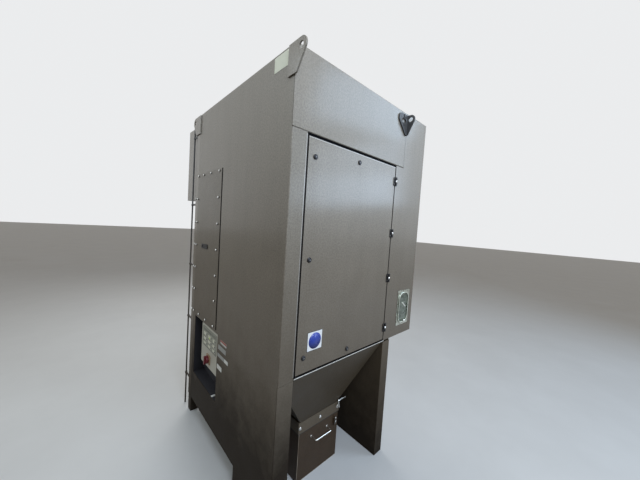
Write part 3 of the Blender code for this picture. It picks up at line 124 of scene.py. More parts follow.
# Dust film and grime on the coat, partly painted shade, each growing from one height to a lower one
DUST_AND_SHADE = (0.168, 0.120, 0.072)
DUST_AND_SHADE_HEIGHTS = (1.80, 0.95)
DUST_AND_SHADE_STRENGTH = 0.40
GRIME_AND_SHADE = (0.014, 0.0085, 0.0035)
GRIME_AND_SHADE_LAYERS = (((1.35, 0.0), 0.80), ((0.80, 0.05), 0.50))
GRIME_AND_SHADE_CLOUD = (9.0, 5.0, 0.65)
GRIME_AND_SHADE_LEAST = 0.75
GRIME_RANGE = (0.05, 0.85)
GRIME_ROUGHNESS = 0.42
MATT_GRIME = 0.50
GLOSS_LEFT = 0.06

# Powder coats: light and dark colour, metallic, dirt and painted shade near the floor, clear coat
# weight
COATS = {
    "textured_coat": ((0.284, 0.250, 0.204), (0.147, 0.127, 0.102), 0.17, 0.92, 0.50),
    # The left face takes more dirt and painted shade near the floor
    "side_coat": ((0.276, 0.246, 0.202), (0.143, 0.125, 0.101), 0.17, 1.30, 0.34),
    "cover_coat": ((0.222, 0.196, 0.158), (0.115, 0.100, 0.079), 0.17, 1.25, 0.26),
    "collar_coat": ((0.185, 0.150, 0.108), (0.115, 0.092, 0.065), 0.20, 0.25, 0.12),
    # Right leg: a darker copy of the coat, painted shade
    "leg_coat": ((0.164, 0.134, 0.098), (0.086, 0.070, 0.051), 0.17, 0.90, 0.30),
    "bin_coat": ((0.080, 0.048, 0.027), (0.036, 0.021, 0.012), 0.16, 0.30, 0.05),
    "hopper_coat": ((0.080, 0.061, 0.038), (0.048, 0.036, 0.022), 0.26, 0.30, 0.06),
    "dark_coat": ((0.090, 0.089, 0.090), (0.056, 0.055, 0.056), 0.10, 0.72, 0.03),
    # Lighter, glossier copy of the coat for the folded edges: painted highlight
    "fold_coat": ((0.52, 0.49, 0.45), (0.34, 0.32, 0.29), 0.17, 0.70, 0.80),
}

# Galvanised sheets: dark and light colour of the spangle
ZINCS = {
    "zinc_plate": ((0.40, 0.44, 0.42), (0.66, 0.71, 0.68)),
    "cover_zinc": ((0.135, 0.152, 0.126), (0.35, 0.39, 0.33)),
    "rim_zinc": ((0.47, 0.47, 0.40), (0.70, 0.70, 0.60)),
    # Bead lighter than the plate: painted highlight on the raised bead
    "bead_zinc": ((0.60, 0.61, 0.53), (0.86, 0.87, 0.77)),
    "fastener_zinc": ((0.88, 0.88, 0.80), (0.98, 0.98, 0.92)),
}

# Bare metals: colour, worn colour, roughness, scale of the drawing marks
METALS = {
    "plated_steel": ((0.80, 0.79, 0.76), (0.55, 0.54, 0.52), 0.18, 180.0),
    "bright_screw": ((0.64, 0.62, 0.59), (0.50, 0.48, 0.45), 0.32, 180.0),
    "worn_steel": ((0.50, 0.44, 0.36), (0.22, 0.16, 0.11), 0.34, 90.0),
    "lever_steel": ((0.24, 0.22, 0.20), (0.12, 0.11, 0.10), 0.36, 180.0),
    "lock_metal": ((0.060, 0.060, 0.064), (0.034, 0.034, 0.037), 0.42, 180.0),
    "lock_insert": ((0.26, 0.26, 0.265), (0.16, 0.16, 0.165), 0.42, 180.0),
}

# Plastics, paints and films: colour, shade, roughness, and if unusual, grain, metallic, specular
SMOOTH = {
    "black_plastic": ((0.016, 0.016, 0.018), (0.008, 0.008, 0.009), 0.36),
    # Near-black stand-in for the shade in gaps and along edges: painted shade
    "gap_black": ((0.004, 0.004, 0.005), (0.002, 0.002, 0.003), 0.90, 0.10, 0.0, 0.05),
    "seal_rubber": ((0.035, 0.035, 0.036), (0.020, 0.020, 0.021), 0.75, 0.30),
    # Near-black recess tray: painted shade in the recess
    "recess_coat": ((0.019, 0.018, 0.023), (0.011, 0.011, 0.014), 0.60),
    "box_paint": ((0.58, 0.56, 0.48), (0.50, 0.48, 0.40), 0.45, 0.16),
    "machine_paint": ((0.12, 0.16, 0.20), (0.08, 0.11, 0.14), 0.42, 0.20, 0.1),
    "switch_red": ((0.15, 0.010, 0.016), (0.10, 0.007, 0.011), 0.34),
    "switch_yellow": ((0.34, 0.215, 0.115), (0.27, 0.170, 0.090), 0.45),
    "white_film": ((0.98, 0.98, 0.98), (0.94, 0.94, 0.94), 0.35, 0.03),
    "blue_film": ((0.035, 0.070, 0.42), (0.028, 0.055, 0.34), 0.30, 0.03),
    "light_film": ((0.84, 0.84, 0.80), (0.74, 0.74, 0.70), 0.45, 0.06),
    "pale_film": ((0.66, 0.66, 0.62), (0.56, 0.56, 0.52), 0.45, 0.06),
    "dark_film": ((0.055, 0.058, 0.055), (0.035, 0.037, 0.035), 0.45, 0.05),
    "cream_film": ((0.90, 0.90, 0.73), (0.82, 0.82, 0.66), 0.50, 0.06),
    "grey_film": ((0.40, 0.40, 0.38), (0.32, 0.32, 0.30), 0.45, 0.06),
    "red_film": ((0.38, 0.12, 0.09), (0.31, 0.09, 0.07), 0.45, 0.06),
    "panel_film": ((0.36, 0.36, 0.28), (0.30, 0.30, 0.23), 0.40, 0.05),
    "key_film": ((0.76, 0.75, 0.62), (0.66, 0.65, 0.53), 0.42, 0.05),
    "lamp_film": ((0.72, 0.92, 0.16), (0.60, 0.82, 0.10), 0.25, 0.02),
}

# Door sill: bright colour of wear and painted highlight, worn colour, painted shadow colour, and
# the levels between which the painted shadow begins
SILL_COLOURS = ((0.95, 0.92, 0.87), (0.66, 0.63, 0.58), (0.014, 0.013, 0.012))
SILL_TOP = 0.842
SILL_SHADE = (SILL_TOP - 0.0012, SILL_TOP - 0.0006)

# Filter fleece: dark and light fibre, and the dust in it
FLEECE_COLOURS = ((0.52, 0.50, 0.46), (0.70, 0.68, 0.63))
FLEECE_DUST = (0.30, 0.29, 0.28)

# The CAD nodes of each finish; the others are textured_coat
DRESS = {
    "hopper_coat": ("hopper",),
    "sill_coat": ("door_sill",),
    "side_coat": ("left_side_panel", "left_leg"),
    "cover_coat": ("service_cover",),
    "leg_coat": ("right_leg",),
    "collar_coat": ("hopper_collar",),
    "bin_coat": ("dust_bin",),
    "dark_coat": ("lifting_bracket_front_right", "rear_leg_left", "rear_leg_right", "air_pipe"),
    "recess_coat": ("recess_tray",),
    "zinc_plate": ("tube_sheet", "partition_wall", "fan_deck", "inlet_spigot", "fan_wheel"),
    "cover_zinc": ("inspection_plate",),
    "plated_steel": ("bin_handle", "collar_clamp"),
    "lever_steel": ("latch_lever",),
    "lock_metal": tuple(f"door_lock_{i}" for i in range(1, 6)),
    "black_plastic": ("cover_grip",)
    + tuple(f"hinge_{side}_leaf_{i}" for side in ("door", "post") for i in range(1, 5)),
    "box_paint": ("control_box", "control_panel"),
    "switch_red": ("main_switch",),
    "switch_yellow": ("switch_plate",),
    "seal_rubber": ("door_gasket", "bin_seal"),
    "filter_media": tuple(f"filter_cartridge_{i}" for i in range(1, 5)),
    "machine_paint": ("pulse_tank", "fan_casing", "fan_motor"),
}

# Service cover and rear strip: screws on thick dark washers, partly painted shade, and the painted
# shade strip along the cover's front edge
COVER_SCREW_Y = (0.804, 0.954, 1.097, 1.213)
COVER_SCREW_Z = (0.862, 1.039, 1.215, 1.394, 1.572, 1.752, 1.930)
STRIP_SCREW_Y = 1.262
STRIP_SCREW_Z = (0.862, 1.039, 1.215, 1.394, 1.570, 1.757)
SCREW_RADIUS = 0.0064
SCREW_PROUD = 0.0048
SOCKET_SHARE = 0.42
SHADE_WASHER_RADIUS = 0.0084
SHADE_WASHER_THICK = 0.0034
COVER_EDGE_SHADE = 0.0130

# Bolts of the hopper's collar, and the boss ring round the clamp's pivot
COLLAR_BOLT_X = (0.317, 0.485, 0.652)
BOLT_RADIUS = 0.0075
BOLT_PROUD = 0.0055
CLAMP_ROOM = 3 * BOLT_RADIUS
BOSS_INNER = 0.0052
BOSS_OUTER = 0.0120
BOSS_PROUD = 0.0036

# Square sticker of the door: x0, x1, z0, z1, and its dark rim of painted shadow, corner and disc
STICKER = (0.169, 0.268, 0.955, 1.052)
STICKER_SHADOW_RIM = 0.0022
STICKER_CORNER = 0.003
DISC_SHARE = 0.43

# Plain plates of the left face: y0, y1, z0, z1
CREAM_PLATE = (0.056, 0.175, 2.325, 2.397)
RED_PLATE = (0.577, 0.671, 0.790, 0.816)
RED_PLATE_BAND = (0.577, 0.671, 0.802, 0.816)
GREY_PLATE = (0.584, 0.704, 0.742, 0.772)
LONG_PLATE = (0.546, 0.712, 0.690, 0.714)
LONG_PLATE_END = (0.546, 0.600, 0.691, 0.713)
SMALL_PLATE = (0.637, 0.713, 0.606, 0.636)
PLATE_CORNER = 0.002
PATCH_CORNER = 0.0015

# Keypad film on the control panel: its spot, the key fields and their keys, header lines, a lamp
KEYPAD = (0.736, 0.992, 0.672, 0.812)
KEYPAD_CORNER = 0.006
KEY_COLUMNS = ((0.748, 0.806), (0.820, 0.892), (0.906, 0.980))
KEY_ROWS = ((0.680, 0.704), (0.712, 0.738), (0.746, 0.776))
KEY_REACH = (0.006, 0.020)
KEY_MARGIN = 0.006
KEY_CORNER = 0.003
FIELD_LINE = 0.0016
KEYPAD_LINE = 0.0025
HEADER_LEVELS = (0.786, 0.795)
HEADER_INSET = 0.012
HEADER_TALL = 0.0035
LINE_CORNER = 0.0004
LAMP_SPOT = (0.860, 0.753)
LAMP_PROFILE = ((0, 0), (0.006, 0), (0.006, 0.001), (0.004, 0.0022), (0, 0.0026))

# Door gap: depth of the painted shade strips, widths of the painted shade rim and of the painted
# highlight on the folds
HINGE_GAP = 0.004
GAP_STRIP_FRONT = 0.0016
GAP_STRIP_BACK = 0.0030
HEAD_ROOM = 3 * SKIN
RIM_SHADE_LEFT = 0.0058
RIM_SHADE_RIGHT = 0.0056
RIM_SHADE_TOP = 0.0062
FOLD_HIGHLIGHT_WIDE = 0.0040

# Lock inserts
CORE_RADIUS = 0.0040
CORE_PROUD = 0.0008

# Hinges: radius of the knuckles, sleeves on them that paint the knuckles' highlight, and screws in
# the leaves
KNUCKLE = 0.007
SLEEVE_TALL = 0.0150
SLEEVE_THICK = 0.0003
SLEEVE_TURN = 162.5
SLEEVE_REACH = 50.0
LEAF_FACE = -0.0043
LEAF_SCREW_REACH = 0.0138
LEAF_SCREW_INSET = 0.010
LEAF_SCREW_RADIUS = 0.0034

# Bin: its front, the flanges of the handle, rivets of the latch, and worn edges
BIN_FRONT = 0.187
HANDLE_RADIUS = 0.004
HANDLE_FLANGE = (
    (0.0047, 0.0002), (0.0076, 0.0002), (0.0076, 0.0014), (0.0066, 0.0022), (0.0047, 0.0024))
LATCH_PLATE = 0.002
LEVER_LEAN = 0.004
LEVER_RIVETS = (0.287, 0.263)
PLATE_RIVET = 0.2370
RIVET_RADIUS = 0.0056
WORN_WIDE = 0.0030
WORN_THICK = 0.0005

# Pin in front of the angle bracket
BRACKET_PROUD = 0.0083
PIN_X = 0.9010
PIN_RADIUS = 0.0020
PIN_LOW = 2.306
PIN_HIGH = 2.386

# Inspection plate: bead, flat rim as (margin, corner), bar and knob as offsets from the middle
BEAD_MARGIN = 0.0155
BEAD_CORNER = 0.064
BEAD_WIDE = 0.0070
BEAD_PROUD = 0.0012
BEAD_SHOULDER = 0.7
FLAT_BACK = 0.005
RIM_OUTSIDE = (0.0006, 0.0054)
RIM_INSIDE = (0.0136, 0.0524)
BAR_SPOT = (0.008, 0.020)
BAR_SIZE = (0.056, 0.0100)
BAR_THICK = 0.003
BAR_SLOPE = 0.0006
BAR_TURN = -38.0
KNOB_SPOT = (0.018, -0.104)
KNOB_RADIUS = 0.0100

# Strip that lies on the floor of the recess: x0, x1, y0, y1
RECESS_STRIP = (0.0008, 0.042, 0.783, 0.801)
RECESS_STRIP_CORNER = 0.002
RECESS_STRIP_THICK = 0.0020
RECESS_STRIP_SLOPE = 0.0004
RECESS_FLOOR = 0.360

origin = Vector((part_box("left_side_panel")[0].x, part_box("filter_door")[0].y, 0.0))


def place(x, y, z):
    """A point in machine coordinates, as a point of the frame."""
    return origin + Vector((x, y, z))


def pivot_of(joint_name):
    """The point about which a joint of the record turns."""
    joints = frame["record"]["behaviour"]["joints"]
    return Vector(next(joint for joint in joints if joint["name"] == joint_name)["pos_m"])


# Materials


class Shader:
    """Builds one node material step by step."""

    def __init__(self, name):
        self.material = bpy.data.materials.new(name)
        self.material.use_nodes = True
        self.tree = self.material.node_tree
        self.nodes = self.tree.nodes
        self.surface = self.nodes["Principled BSDF"]
        self.coordinates = self.nodes.new("ShaderNodeTexCoord").outputs["Object"]

    def link(self, source, target):
        """Joins an output to a socket."""
        self.tree.links.new(source, target)

    def set(self, **values):
        """Sets constants on the surface's sockets, underscores for the spaces in their names."""
        for name, value in values.items():
            self.surface.inputs[name.replace("_", " ")].default_value = value

    def stretched(self, scale):
        """The object's coordinates, scaled along each axis."""
        mapping = self.nodes.new("ShaderNodeMapping")
        mapping.inputs["Scale"].default_value = scale
        self.link(self.coordinates, mapping.inputs["Vector"])
        return mapping.outputs["Vector"]

    def noise(self, scale, detail=2.0, roughness=0.5, vector=None):
        """Fractal noise, over the object's coordinates if no others are given."""
        node = self.nodes.new("ShaderNodeTexNoise")
        node.inputs["Scale"].default_value = scale
        node.inputs["Detail"].default_value = detail
        node.inputs["Roughness"].default_value = roughness
        self.link(vector or self.coordinates, node.inputs["Vector"])
        return node.outputs["Fac"]

    def cells(self, scale, output="Distance"):
        """Cell texture, as the distance to the nearest centre or as the cells' colours."""
        node = self.nodes.new("ShaderNodeTexVoronoi")
        node.inputs["Scale"].default_value = scale
        self.link(self.coordinates, node.inputs["Vector"])
        return node.outputs[output]

    def height(self):
        """Height above the floor, in metres."""
        split = self.nodes.new("ShaderNodeSeparateXYZ")
        self.link(self.coordinates, split.inputs["Vector"])
        return split.outputs["Z"]

    def spread(self, source, low, high, to_low=0.0, to_high=1.0):
        """Maps a range of values to another one, clamped at its ends."""
        node = self.nodes.new("ShaderNodeMapRange")
        node.inputs["From Min"].default_value = low
        node.inputs["From Max"].default_value = high
        node.inputs["To Min"].default_value = to_low
        node.inputs["To Max"].default_value = to_high
        self.link(source, node.inputs["Value"])
        return node.outputs["Result"]

    def math(self, operation, a, b):
        """Joins two values, each a number or an output."""
        node = self.nodes.new("ShaderNodeMath")
        node.operation = operation
        for socket, value in zip(node.inputs, (a, b)):
            if isinstance(value, (int, float)):
                socket.default_value = value
            else:
                self.link(value, socket)
        return node.outputs[0]

    def mix(self, factor, a, b):
        """Mixes two colours, each a colour or an output."""
        node = self.nodes.new("ShaderNodeMix")
        node.data_type = "RGBA"
        self.link(factor, node.inputs["Factor"])
        for socket, value in ((node.inputs[6], a), (node.inputs[7], b)):
            if isinstance(value, tuple):
                socket.default_value = (*value, 1.0)
            else:
                self.link(value, socket)
        return node.outputs[2]

    def bump(self, source, strength, distance, under=None):
        """A normal bent by a height, on top of another normal if one is given."""
        node = self.nodes.new("ShaderNodeBump")
        node.inputs["Strength"].default_value = strength
        node.inputs["Distance"].default_value = distance
        self.link(source, node.inputs["Height"])
        if under is not None:
            self.link(under, node.inputs["Normal"])
        return node.outputs["Normal"]

    def finish(self, colour, roughness, normal):
        """Links the main outputs to the surface and hands over the material."""
        self.link(colour, self.surface.inputs["Base Color"])
        self.link(roughness, self.surface.inputs["Roughness"])
        self.link(normal, self.surface.inputs["Normal"])
        return self.material


def textured_coat(name, light, dark, metallic, dirt_and_shade, gloss):
    """Metallic powder coat: grain, faint clouds, sheet waves, dust, grime and painted shade near
    the floor.
    """
    s = Shader(name)
    s.set(Metallic=metallic, Specular_IOR_Level=COAT_SPECULAR, Coat_Roughness=CLEAR_ROUGHNESS)
    speck = s.noise(*SPECK)
    blotch = s.noise(*BLOTCH)
    streak = s.noise(*STREAK, s.stretched(STREAK_STRETCH))
    tone = s.math("MULTIPLY", s.spread(s.noise(*GRAIN), *GRAIN_RANGE), GRAIN_SHARE)
    for layer, reach, share in (
        (speck, SPECK_RANGE, SPECK_SHARE),
        (blotch, NOISE_RANGE, BLOTCH_SHARE),
        (streak, NOISE_RANGE, STREAK_SHARE),
    ):
        tone = s.math("ADD", tone, s.math("MULTIPLY", s.spread(layer, *reach), share))
    colour = s.mix(tone, dark, light)

    height = s.height()
    # Dust film with painted shade: warmer and darker below the upper height
    dust = s.spread(height, *DUST_AND_SHADE_HEIGHTS, 0.0, DUST_AND_SHADE_STRENGTH * min(dirt_and_shade, 1.0))
    colour = s.mix(dust, colour, DUST_AND_SHADE)
    # Grime with painted shade darkens the coat towards the floor
    layers = [s.spread(height, *heights, 0.0, dirt_and_shade * share) for heights, share in GRIME_AND_SHADE_LAYERS]
    cloud = s.spread(s.noise(*GRIME_AND_SHADE_CLOUD), *NOISE_RANGE, GRIME_AND_SHADE_LEAST, 1.0)
    grime_and_shade = s.math("MULTIPLY", s.math("ADD", *layers), cloud)
    colour = s.mix(grime_and_shade, colour, GRIME_AND_SHADE)
    roughness = s.math(
        "ADD",
        s.spread(blotch, *NOISE_RANGE, *COAT_ROUGHNESS),
        s.spread(grime_and_shade, *GRIME_RANGE, 0.0, GRIME_ROUGHNESS),
    )

    clear = s.spread(grime_and_shade, 0.0, MATT_GRIME, gloss, gloss * GLOSS_LEFT)
    s.link(clear, s.surface.inputs["Coat Weight"])
    waves = s.bump(s.noise(*WAVE), *WAVE_BUMP)
    s.link(s.bump(speck, *CLEAR_BUMP, waves), s.surface.inputs["Coat Normal"])
    normal = s.bump(s.cells(CELL_SCALE), *CELL_BUMP, s.bump(speck, *SPECK_BUMP, waves))
    return s.finish(colour, roughness, normal)


def sill_edge(name, light, worn, shaded):
    """Bright edge of the sill, partly wear and partly painted highlight, with the door's painted
    shadow on its upper face.
    """
    s = Shader(name)
    s.set(Metallic=0.3)
    marks = s.noise(70.0, detail=3.0, roughness=0.6)
    # Wear and painted highlight on the sill's edge
    colour = s.mix(s.spread(marks, *CLOUD_RANGE), worn, light)
    # Painted shadow of the door on the sill's upper face
    colour = s.mix(s.spread(s.height(), *SILL_SHADE), colour, shaded)
    roughness = s.spread(marks, *NOISE_RANGE, to_low=0.32, to_high=0.46)
    return s.finish(colour, roughness, s.bump(marks, strength=0.1, distance=0.0004))


def zinc_sheet(name, dark, light):
    """Galvanised sheet with its crystal spangle."""
    s = Shader(name)
    s.set(Metallic=0.85)
    grey = s.nodes.new("ShaderNodeRGBToBW")
    s.link(s.cells(70.0, output="Color"), grey.inputs["Color"])
    spangle = grey.outputs["Val"]
    colour = s.mix(spangle, dark, light)
    roughness = s.spread(spangle, 0.0, 1.0, to_low=0.24, to_high=0.42)
    return s.finish(colour, roughness, s.bump(s.noise(260.0), strength=0.08, distance=0.0004))


def bright_metal(name, colour, worn, roughness, scale):
    """Plated or drawn steel with fine drawing marks."""
    s = Shader(name)
    s.set(Metallic=1.0)
    marks = s.noise(scale, detail=3.0, roughness=0.6, vector=s.stretched((1.0, 1.0, 0.15)))
    shade = s.mix(s.spread(marks, *NOISE_RANGE), worn, colour)
    rough = s.spread(marks, *NOISE_RANGE, roughness, roughness + 0.14)
    return s.finish(shade, rough, s.bump(marks, strength=0.05, distance=0.0002))


def moulded(name, colour, shade, roughness, texture=0.10, metallic=0.0, specular=0.5):
    """Moulded plastic, smooth paint or a film, with a slight surface grain."""
    s = Shader(name)
    s.set(Metallic=metallic, Specular_IOR_Level=specular)
    grain = s.noise(600.0)
    cloud = s.noise(22.0, detail=3.0)
    tone = s.math("ADD", s.math("MULTIPLY", grain, 0.5), s.math("MULTIPLY", cloud, 0.5))
    colour = s.mix(s.spread(tone, *CLOUD_RANGE), shade, colour)
    rough = s.spread(cloud, *NOISE_RANGE, roughness - 0.04, roughness + 0.05)
    return s.finish(colour, rough, s.bump(grain, texture, distance=0.0003))


def pleated_media(name):
    """Off-white filter fleece that has caught grey dust."""
    s = Shader(name)
    s.set(Sheen_Weight=0.25)
    fibre = s.noise(300.0, detail=4.0, roughness=0.7)
    dust = s.noise(6.0, detail=4.0, roughness=0.6, vector=s.stretched((1.0, 1.0, 0.5)))
    colour = s.mix(s.spread(fibre, *NOISE_RANGE), *FLEECE_COLOURS)
    colour = s.mix(s.spread(dust, 0.4, 0.7, to_low=0.1, to_high=0.6), colour, FLEECE_DUST)
    roughness = s.spread(fibre, *NOISE_RANGE, to_low=0.82, to_high=0.96)
    return s.finish(colour, roughness, s.bump(fibre, strength=0.35, distance=0.0008))


def make_finishes():
    """All finishes by name."""
    made = {
        "sill_coat": sill_edge("sill_coat", *SILL_COLOURS),
        "filter_media": pleated_media("filter_media"),
    }
    for make, table in (
        (textured_coat, COATS),
        (zinc_sheet, ZINCS),
        (bright_metal, METALS),
        (moulded, SMOOTH),
    ):
        made.update({name: make(name, *values) for name, values in table.items()})
    return made


finishes = make_finishes()


def dress_nodes():
    """Gives each CAD node its finish, and rounds its folded edges a little."""
    finish_of = {node: finish for finish, nodes in DRESS.items() for node in nodes}
    for name, node in frame["nodes"].items():
        node.data.materials.clear()
        node.data.materials.append(finishes[finish_of.get(name, "textured_coat")])
        weld = node.modifiers.new("weld", "WELD")
        weld.merge_threshold = WELD_REACH
        edge = node.modifiers.new("edge", "BEVEL")
        edge.width = EDGE_ROUND
        edge.segments = 2
        edge.limit_method = "ANGLE"
        edge.angle_limit = math.radians(EDGE_ANGLE)


# Forms


def on_face(direction, point):
    """A matrix that stands on an upright face at a point, z along the face's outward direction."""
    z = Vector(direction)
    x = Vector((0, 0, 1)).cross(z)
    return Matrix.Translation(point) @ Matrix((x, z.cross(x), z)).transposed().to_4x4()


def circle(radius, level, steps):
    """Points round the z axis at a level."""
    turns = [2 * math.pi * i / steps for i in range(steps)]
    return [Vector((radius * math.cos(turn), radius * math.sin(turn), level)) for turn in turns]


def rounded_outline(width, height, radius, steps):
    """Points round a rectangle with rounded corners, centred on the origin."""
    points = []
    for i, (sx, sy) in enumerate(((1, 1), (-1, 1), (-1, -1), (1, -1))):
        for k in range(steps + 1):
            turn = math.pi / 2 * (i + k / steps)
            x = sx * (width / 2 - radius) + radius * math.cos(turn)
            y = sy * (height / 2 - radius) + radius * math.sin(turn)
            points.append((x, y))
    return points


def dome(radius):
    """Profile of a low dome, as (radius, height) points."""
    middle = [(radius * 0.95, radius * 0.35), (radius * 0.6, radius * 0.62)]
    return [(0, 0), (radius, 0), *middle, (0, radius * 0.72)]


def disc(radius, top, bottom=0.0):
    """Profile of a flat disc, as (radius, height) points."""
    return [(0, bottom), (radius, bottom), (radius, top), (0, top)]


def lathe(mesh, profile, matrix, steps):
    """Adds a solid of revolution about z from (radius, height) points, closed at both ends."""
    loops = []
    for radius, level in profile:
        points = circle(radius, level, steps) if radius else [Vector((0, 0, level))]
        loops.append([mesh.verts.new(matrix @ point) for point in points])
    for low, high in zip(loops, loops[1:]):
        for i in range(steps):
            j = (i + 1) % steps
            corners = (
                low[i % len(low)], low[j % len(low)], high[j % len(high)], high[i % len(high)])
            mesh.faces.new(dict.fromkeys(corners)).smooth = True


def join_loops(mesh, loops, smooth):
    """Adds a closed ring between loops of equally many points, the last joined to the first."""
    for first, second in zip(loops, loops[1:] + loops[:1]):
        for i in range(len(first)):
            j = (i + 1) % len(first)
            mesh.faces.new((first[i], first[j], second[j], second[i])).smooth = smooth


def ring(mesh, profile, matrix, steps):
    """Adds a closed ring of revolution about z from (radius, height) points."""
    loops = [
        [mesh.verts.new(matrix @ point) for point in circle(radius, level, steps)]
        for radius, level in profile
    ]
    join_loops(mesh, loops, True)


def plate(mesh, outline, thick, matrix, slope=0.0):
    """Adds a flat plate along z, the upper part of its rim sloped inward."""
    levels = [(0.0, 0.0), (thick, 0.0)]
    if slope:
        levels = [(0.0, 0.0), (thick - slope, 0.0), (thick, slope)]
    reach = max(max(abs(x), abs(y)) for x, y in outline)
    loops = []
    for level, inset in levels:
        scale = 1 - inset / reach
        points = [Vector((x * scale, y * scale, level)) for x, y in outline]
        loops.append([mesh.verts.new(matrix @ point) for point in points])
    for low, high in zip(loops, loops[1:]):
        for i in range(len(low)):
            j = (i + 1) % len(low)
            mesh.faces.new((low[i], low[j], high[j], high[i]))
    mesh.faces.new(loops[0][::-1])
    mesh.faces.new(loops[-1])


def arc_shell(mesh, radius, thick, tall, reach, matrix, steps=10):
    """Adds a thin curved plate that stands round a z axis, centred on its y direction."""
    section = (
        (radius, -tall / 2), (radius + thick, -tall / 2), (radius + thick, tall / 2),
        (radius, tall / 2))
    loops = []
    for i in range(steps + 1):
        turn = -reach + 2 * reach * i / steps
        way = Vector((math.sin(turn), math.cos(turn), 0))
        loops.append([mesh.verts.new(matrix @ (way * r + Vector((0, 0, z)))) for r, z in section])
    for low, high in zip(loops, loops[1:]):
        for i in range(4):
            j = (i + 1) % 4
            mesh.faces.new((low[i], low[j], high[j], high[i])).smooth = i == 1
    mesh.faces.new(loops[0][::-1])
    mesh.faces.new(loops[-1])


# Pieces


def add_piece(name, mesh, finish, body):
    """Makes a piece from a mesh in frame coordinates that rides on a CAD body."""
    data = bpy.data.meshes.new(name)
    mesh.to_mesh(data)
    mesh.free()
    data.materials.append(finishes[finish])
    piece = bpy.data.objects.new(name, data)
    bpy.context.scene.collection.objects.link(piece)
    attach(piece, body)


def screw_head(mesh, matrix):
    """Adds a pan head with a hexagon socket."""
    r, h = SCREW_RADIUS, SCREW_PROUD
    socket = r * SOCKET_SHARE
    foot = [(0, 0), (r * 1.25, 0), (r * 1.25, h * 0.2), (r, h * 0.22)]
    top = [(r * 0.95, h * 0.6), (r * 0.7, h * 0.93), (socket, h)]
    lathe(mesh, foot + top + [(socket * 0.9, h * 0.45), (0, h * 0.4)], matrix, steps=18)


def hex_bolt(mesh, matrix):
    """Adds a hexagon head on its washer."""
    r, h = BOLT_RADIUS, BOLT_PROUD
    lathe(mesh, disc(r * 1.35, h * 0.22), matrix, steps=24)
    head = [(0, 0), (r, 0), (r, h * 0.66), (r * 0.86, h * 0.76), (0, h * 0.76)]
    lathe(mesh, head, matrix @ Matrix.Translation((0, 0, h * 0.24)), steps=6)


def add_cover_screws():
    """Bright screws on thick dark washers, partly painted shade round the screws, on the service
    cover and the rear strip.
    """
    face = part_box("service_cover")[0].x - origin.x - SKIN / 2
    first, *between, last = COVER_SCREW_Y
    points = [place(face, y, z) for y in (first, last) for z in COVER_SCREW_Z]
    ends = (COVER_SCREW_Z[0], COVER_SCREW_Z[-1])
    points += [place(face, y, z) for y in between for z in ends]
    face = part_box("rear_panel")[0].x - origin.x - SKIN / 2
    points += [place(face, STRIP_SCREW_Y, z) for z in STRIP_SCREW_Z]
    heads, shade_washers = bmesh.new(), bmesh.new()
    lift = Matrix.Translation((0, 0, SHADE_WASHER_THICK + SKIN / 2))
    for point in points:
        screw_head(heads, on_face(LEFT, point) @ lift)
        lathe(shade_washers, disc(SHADE_WASHER_RADIUS, SHADE_WASHER_THICK), on_face(LEFT, point), steps=18)
    add_piece("cover_screws", heads, "bright_screw", "cabinet")
    # Dark washers, partly painted shade round the screw heads
    add_piece("cover_shade_washers", shade_washers, "black_plastic", "cabinet")


def add_cover_lip():
    """Dark strip along the front edge of the service cover: painted shade of its edge."""
    low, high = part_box("service_cover")
    mesh = bmesh.new()
    outline = rounded_outline(COVER_EDGE_SHADE, high.z - low.z, COVER_EDGE_SHADE * STRIP_CORNER, steps=3)
    point = Vector((origin.x - SKIN / 4, low.y - COVER_EDGE_SHADE / 2, (low.z + high.z) / 2))
    plate(mesh, outline, LIP_THICK, on_face(LEFT, point))
    add_piece("cover_edge_shade", mesh, "gap_black", "cabinet")


def add_collar_bolts():
    """Bolts of the hopper's collar, clear of the clamp, and the boss ring round its pivot."""
    low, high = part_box("hopper_collar")
    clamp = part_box("collar_clamp")[0].x
    mesh = bmesh.new()
    for x in COLLAR_BOLT_X:
        point = Vector((origin.x + x, low.y - SKIN / 2, (low.z + high.z) / 2))
        if abs(point.x - clamp) >= CLAMP_ROOM:
            hex_bolt(mesh, on_face(FRONT, point))
    pivot = pivot_of("clamp_turn")
    profile = [
        (BOSS_INNER, 0.0002), (BOSS_OUTER, 0.0002), (BOSS_OUTER, 0.0020),
        (BOSS_OUTER * 0.75, BOSS_PROUD), (BOSS_INNER, BOSS_PROUD)]
    ring(mesh, profile, on_face(FRONT, Vector((pivot.x, low.y, pivot.z))), steps=28)
    add_piece("collar_bolts", mesh, "plated_steel", "cabinet")


def spot_matrix(spot, face, direction):
    """The matrix that stands in the middle of a spot on the left face or on the front."""
    along, height = (spot[0] + spot[1]) / 2, (spot[2] + spot[3]) / 2
    point = place(face, along, height) if direction == LEFT else place(along, face, height)
    return on_face(direction, point)


def add_film(name, spot, finish, face, corner, direction=LEFT, body="cabinet"):
    """A thin plain label or plate, its rim sloped."""
    mesh = bmesh.new()
    outline = rounded_outline(spot[1] - spot[0], spot[3] - spot[2], corner, steps=5)
    plate(mesh, outline, FILM_THICK, spot_matrix(spot, face, direction), FILM_THICK * FILM_SLOPE)
    add_piece(name, mesh, finish, body)


def add_patches(name, spots, finish, face, corner=PATCH_CORNER, direction=LEFT, body="cabinet"):
    """Thin flat patches in one plane."""
    mesh = bmesh.new()
    for spot in spots:
        wide, tall = spot[1] - spot[0], spot[3] - spot[2]
        outline = rounded_outline(wide, tall, min(corner, tall * 0.45, wide * 0.45), steps=3)
        plate(mesh, outline, PATCH_THICK, spot_matrix(spot, face, direction))
    add_piece(name, mesh, finish, body)


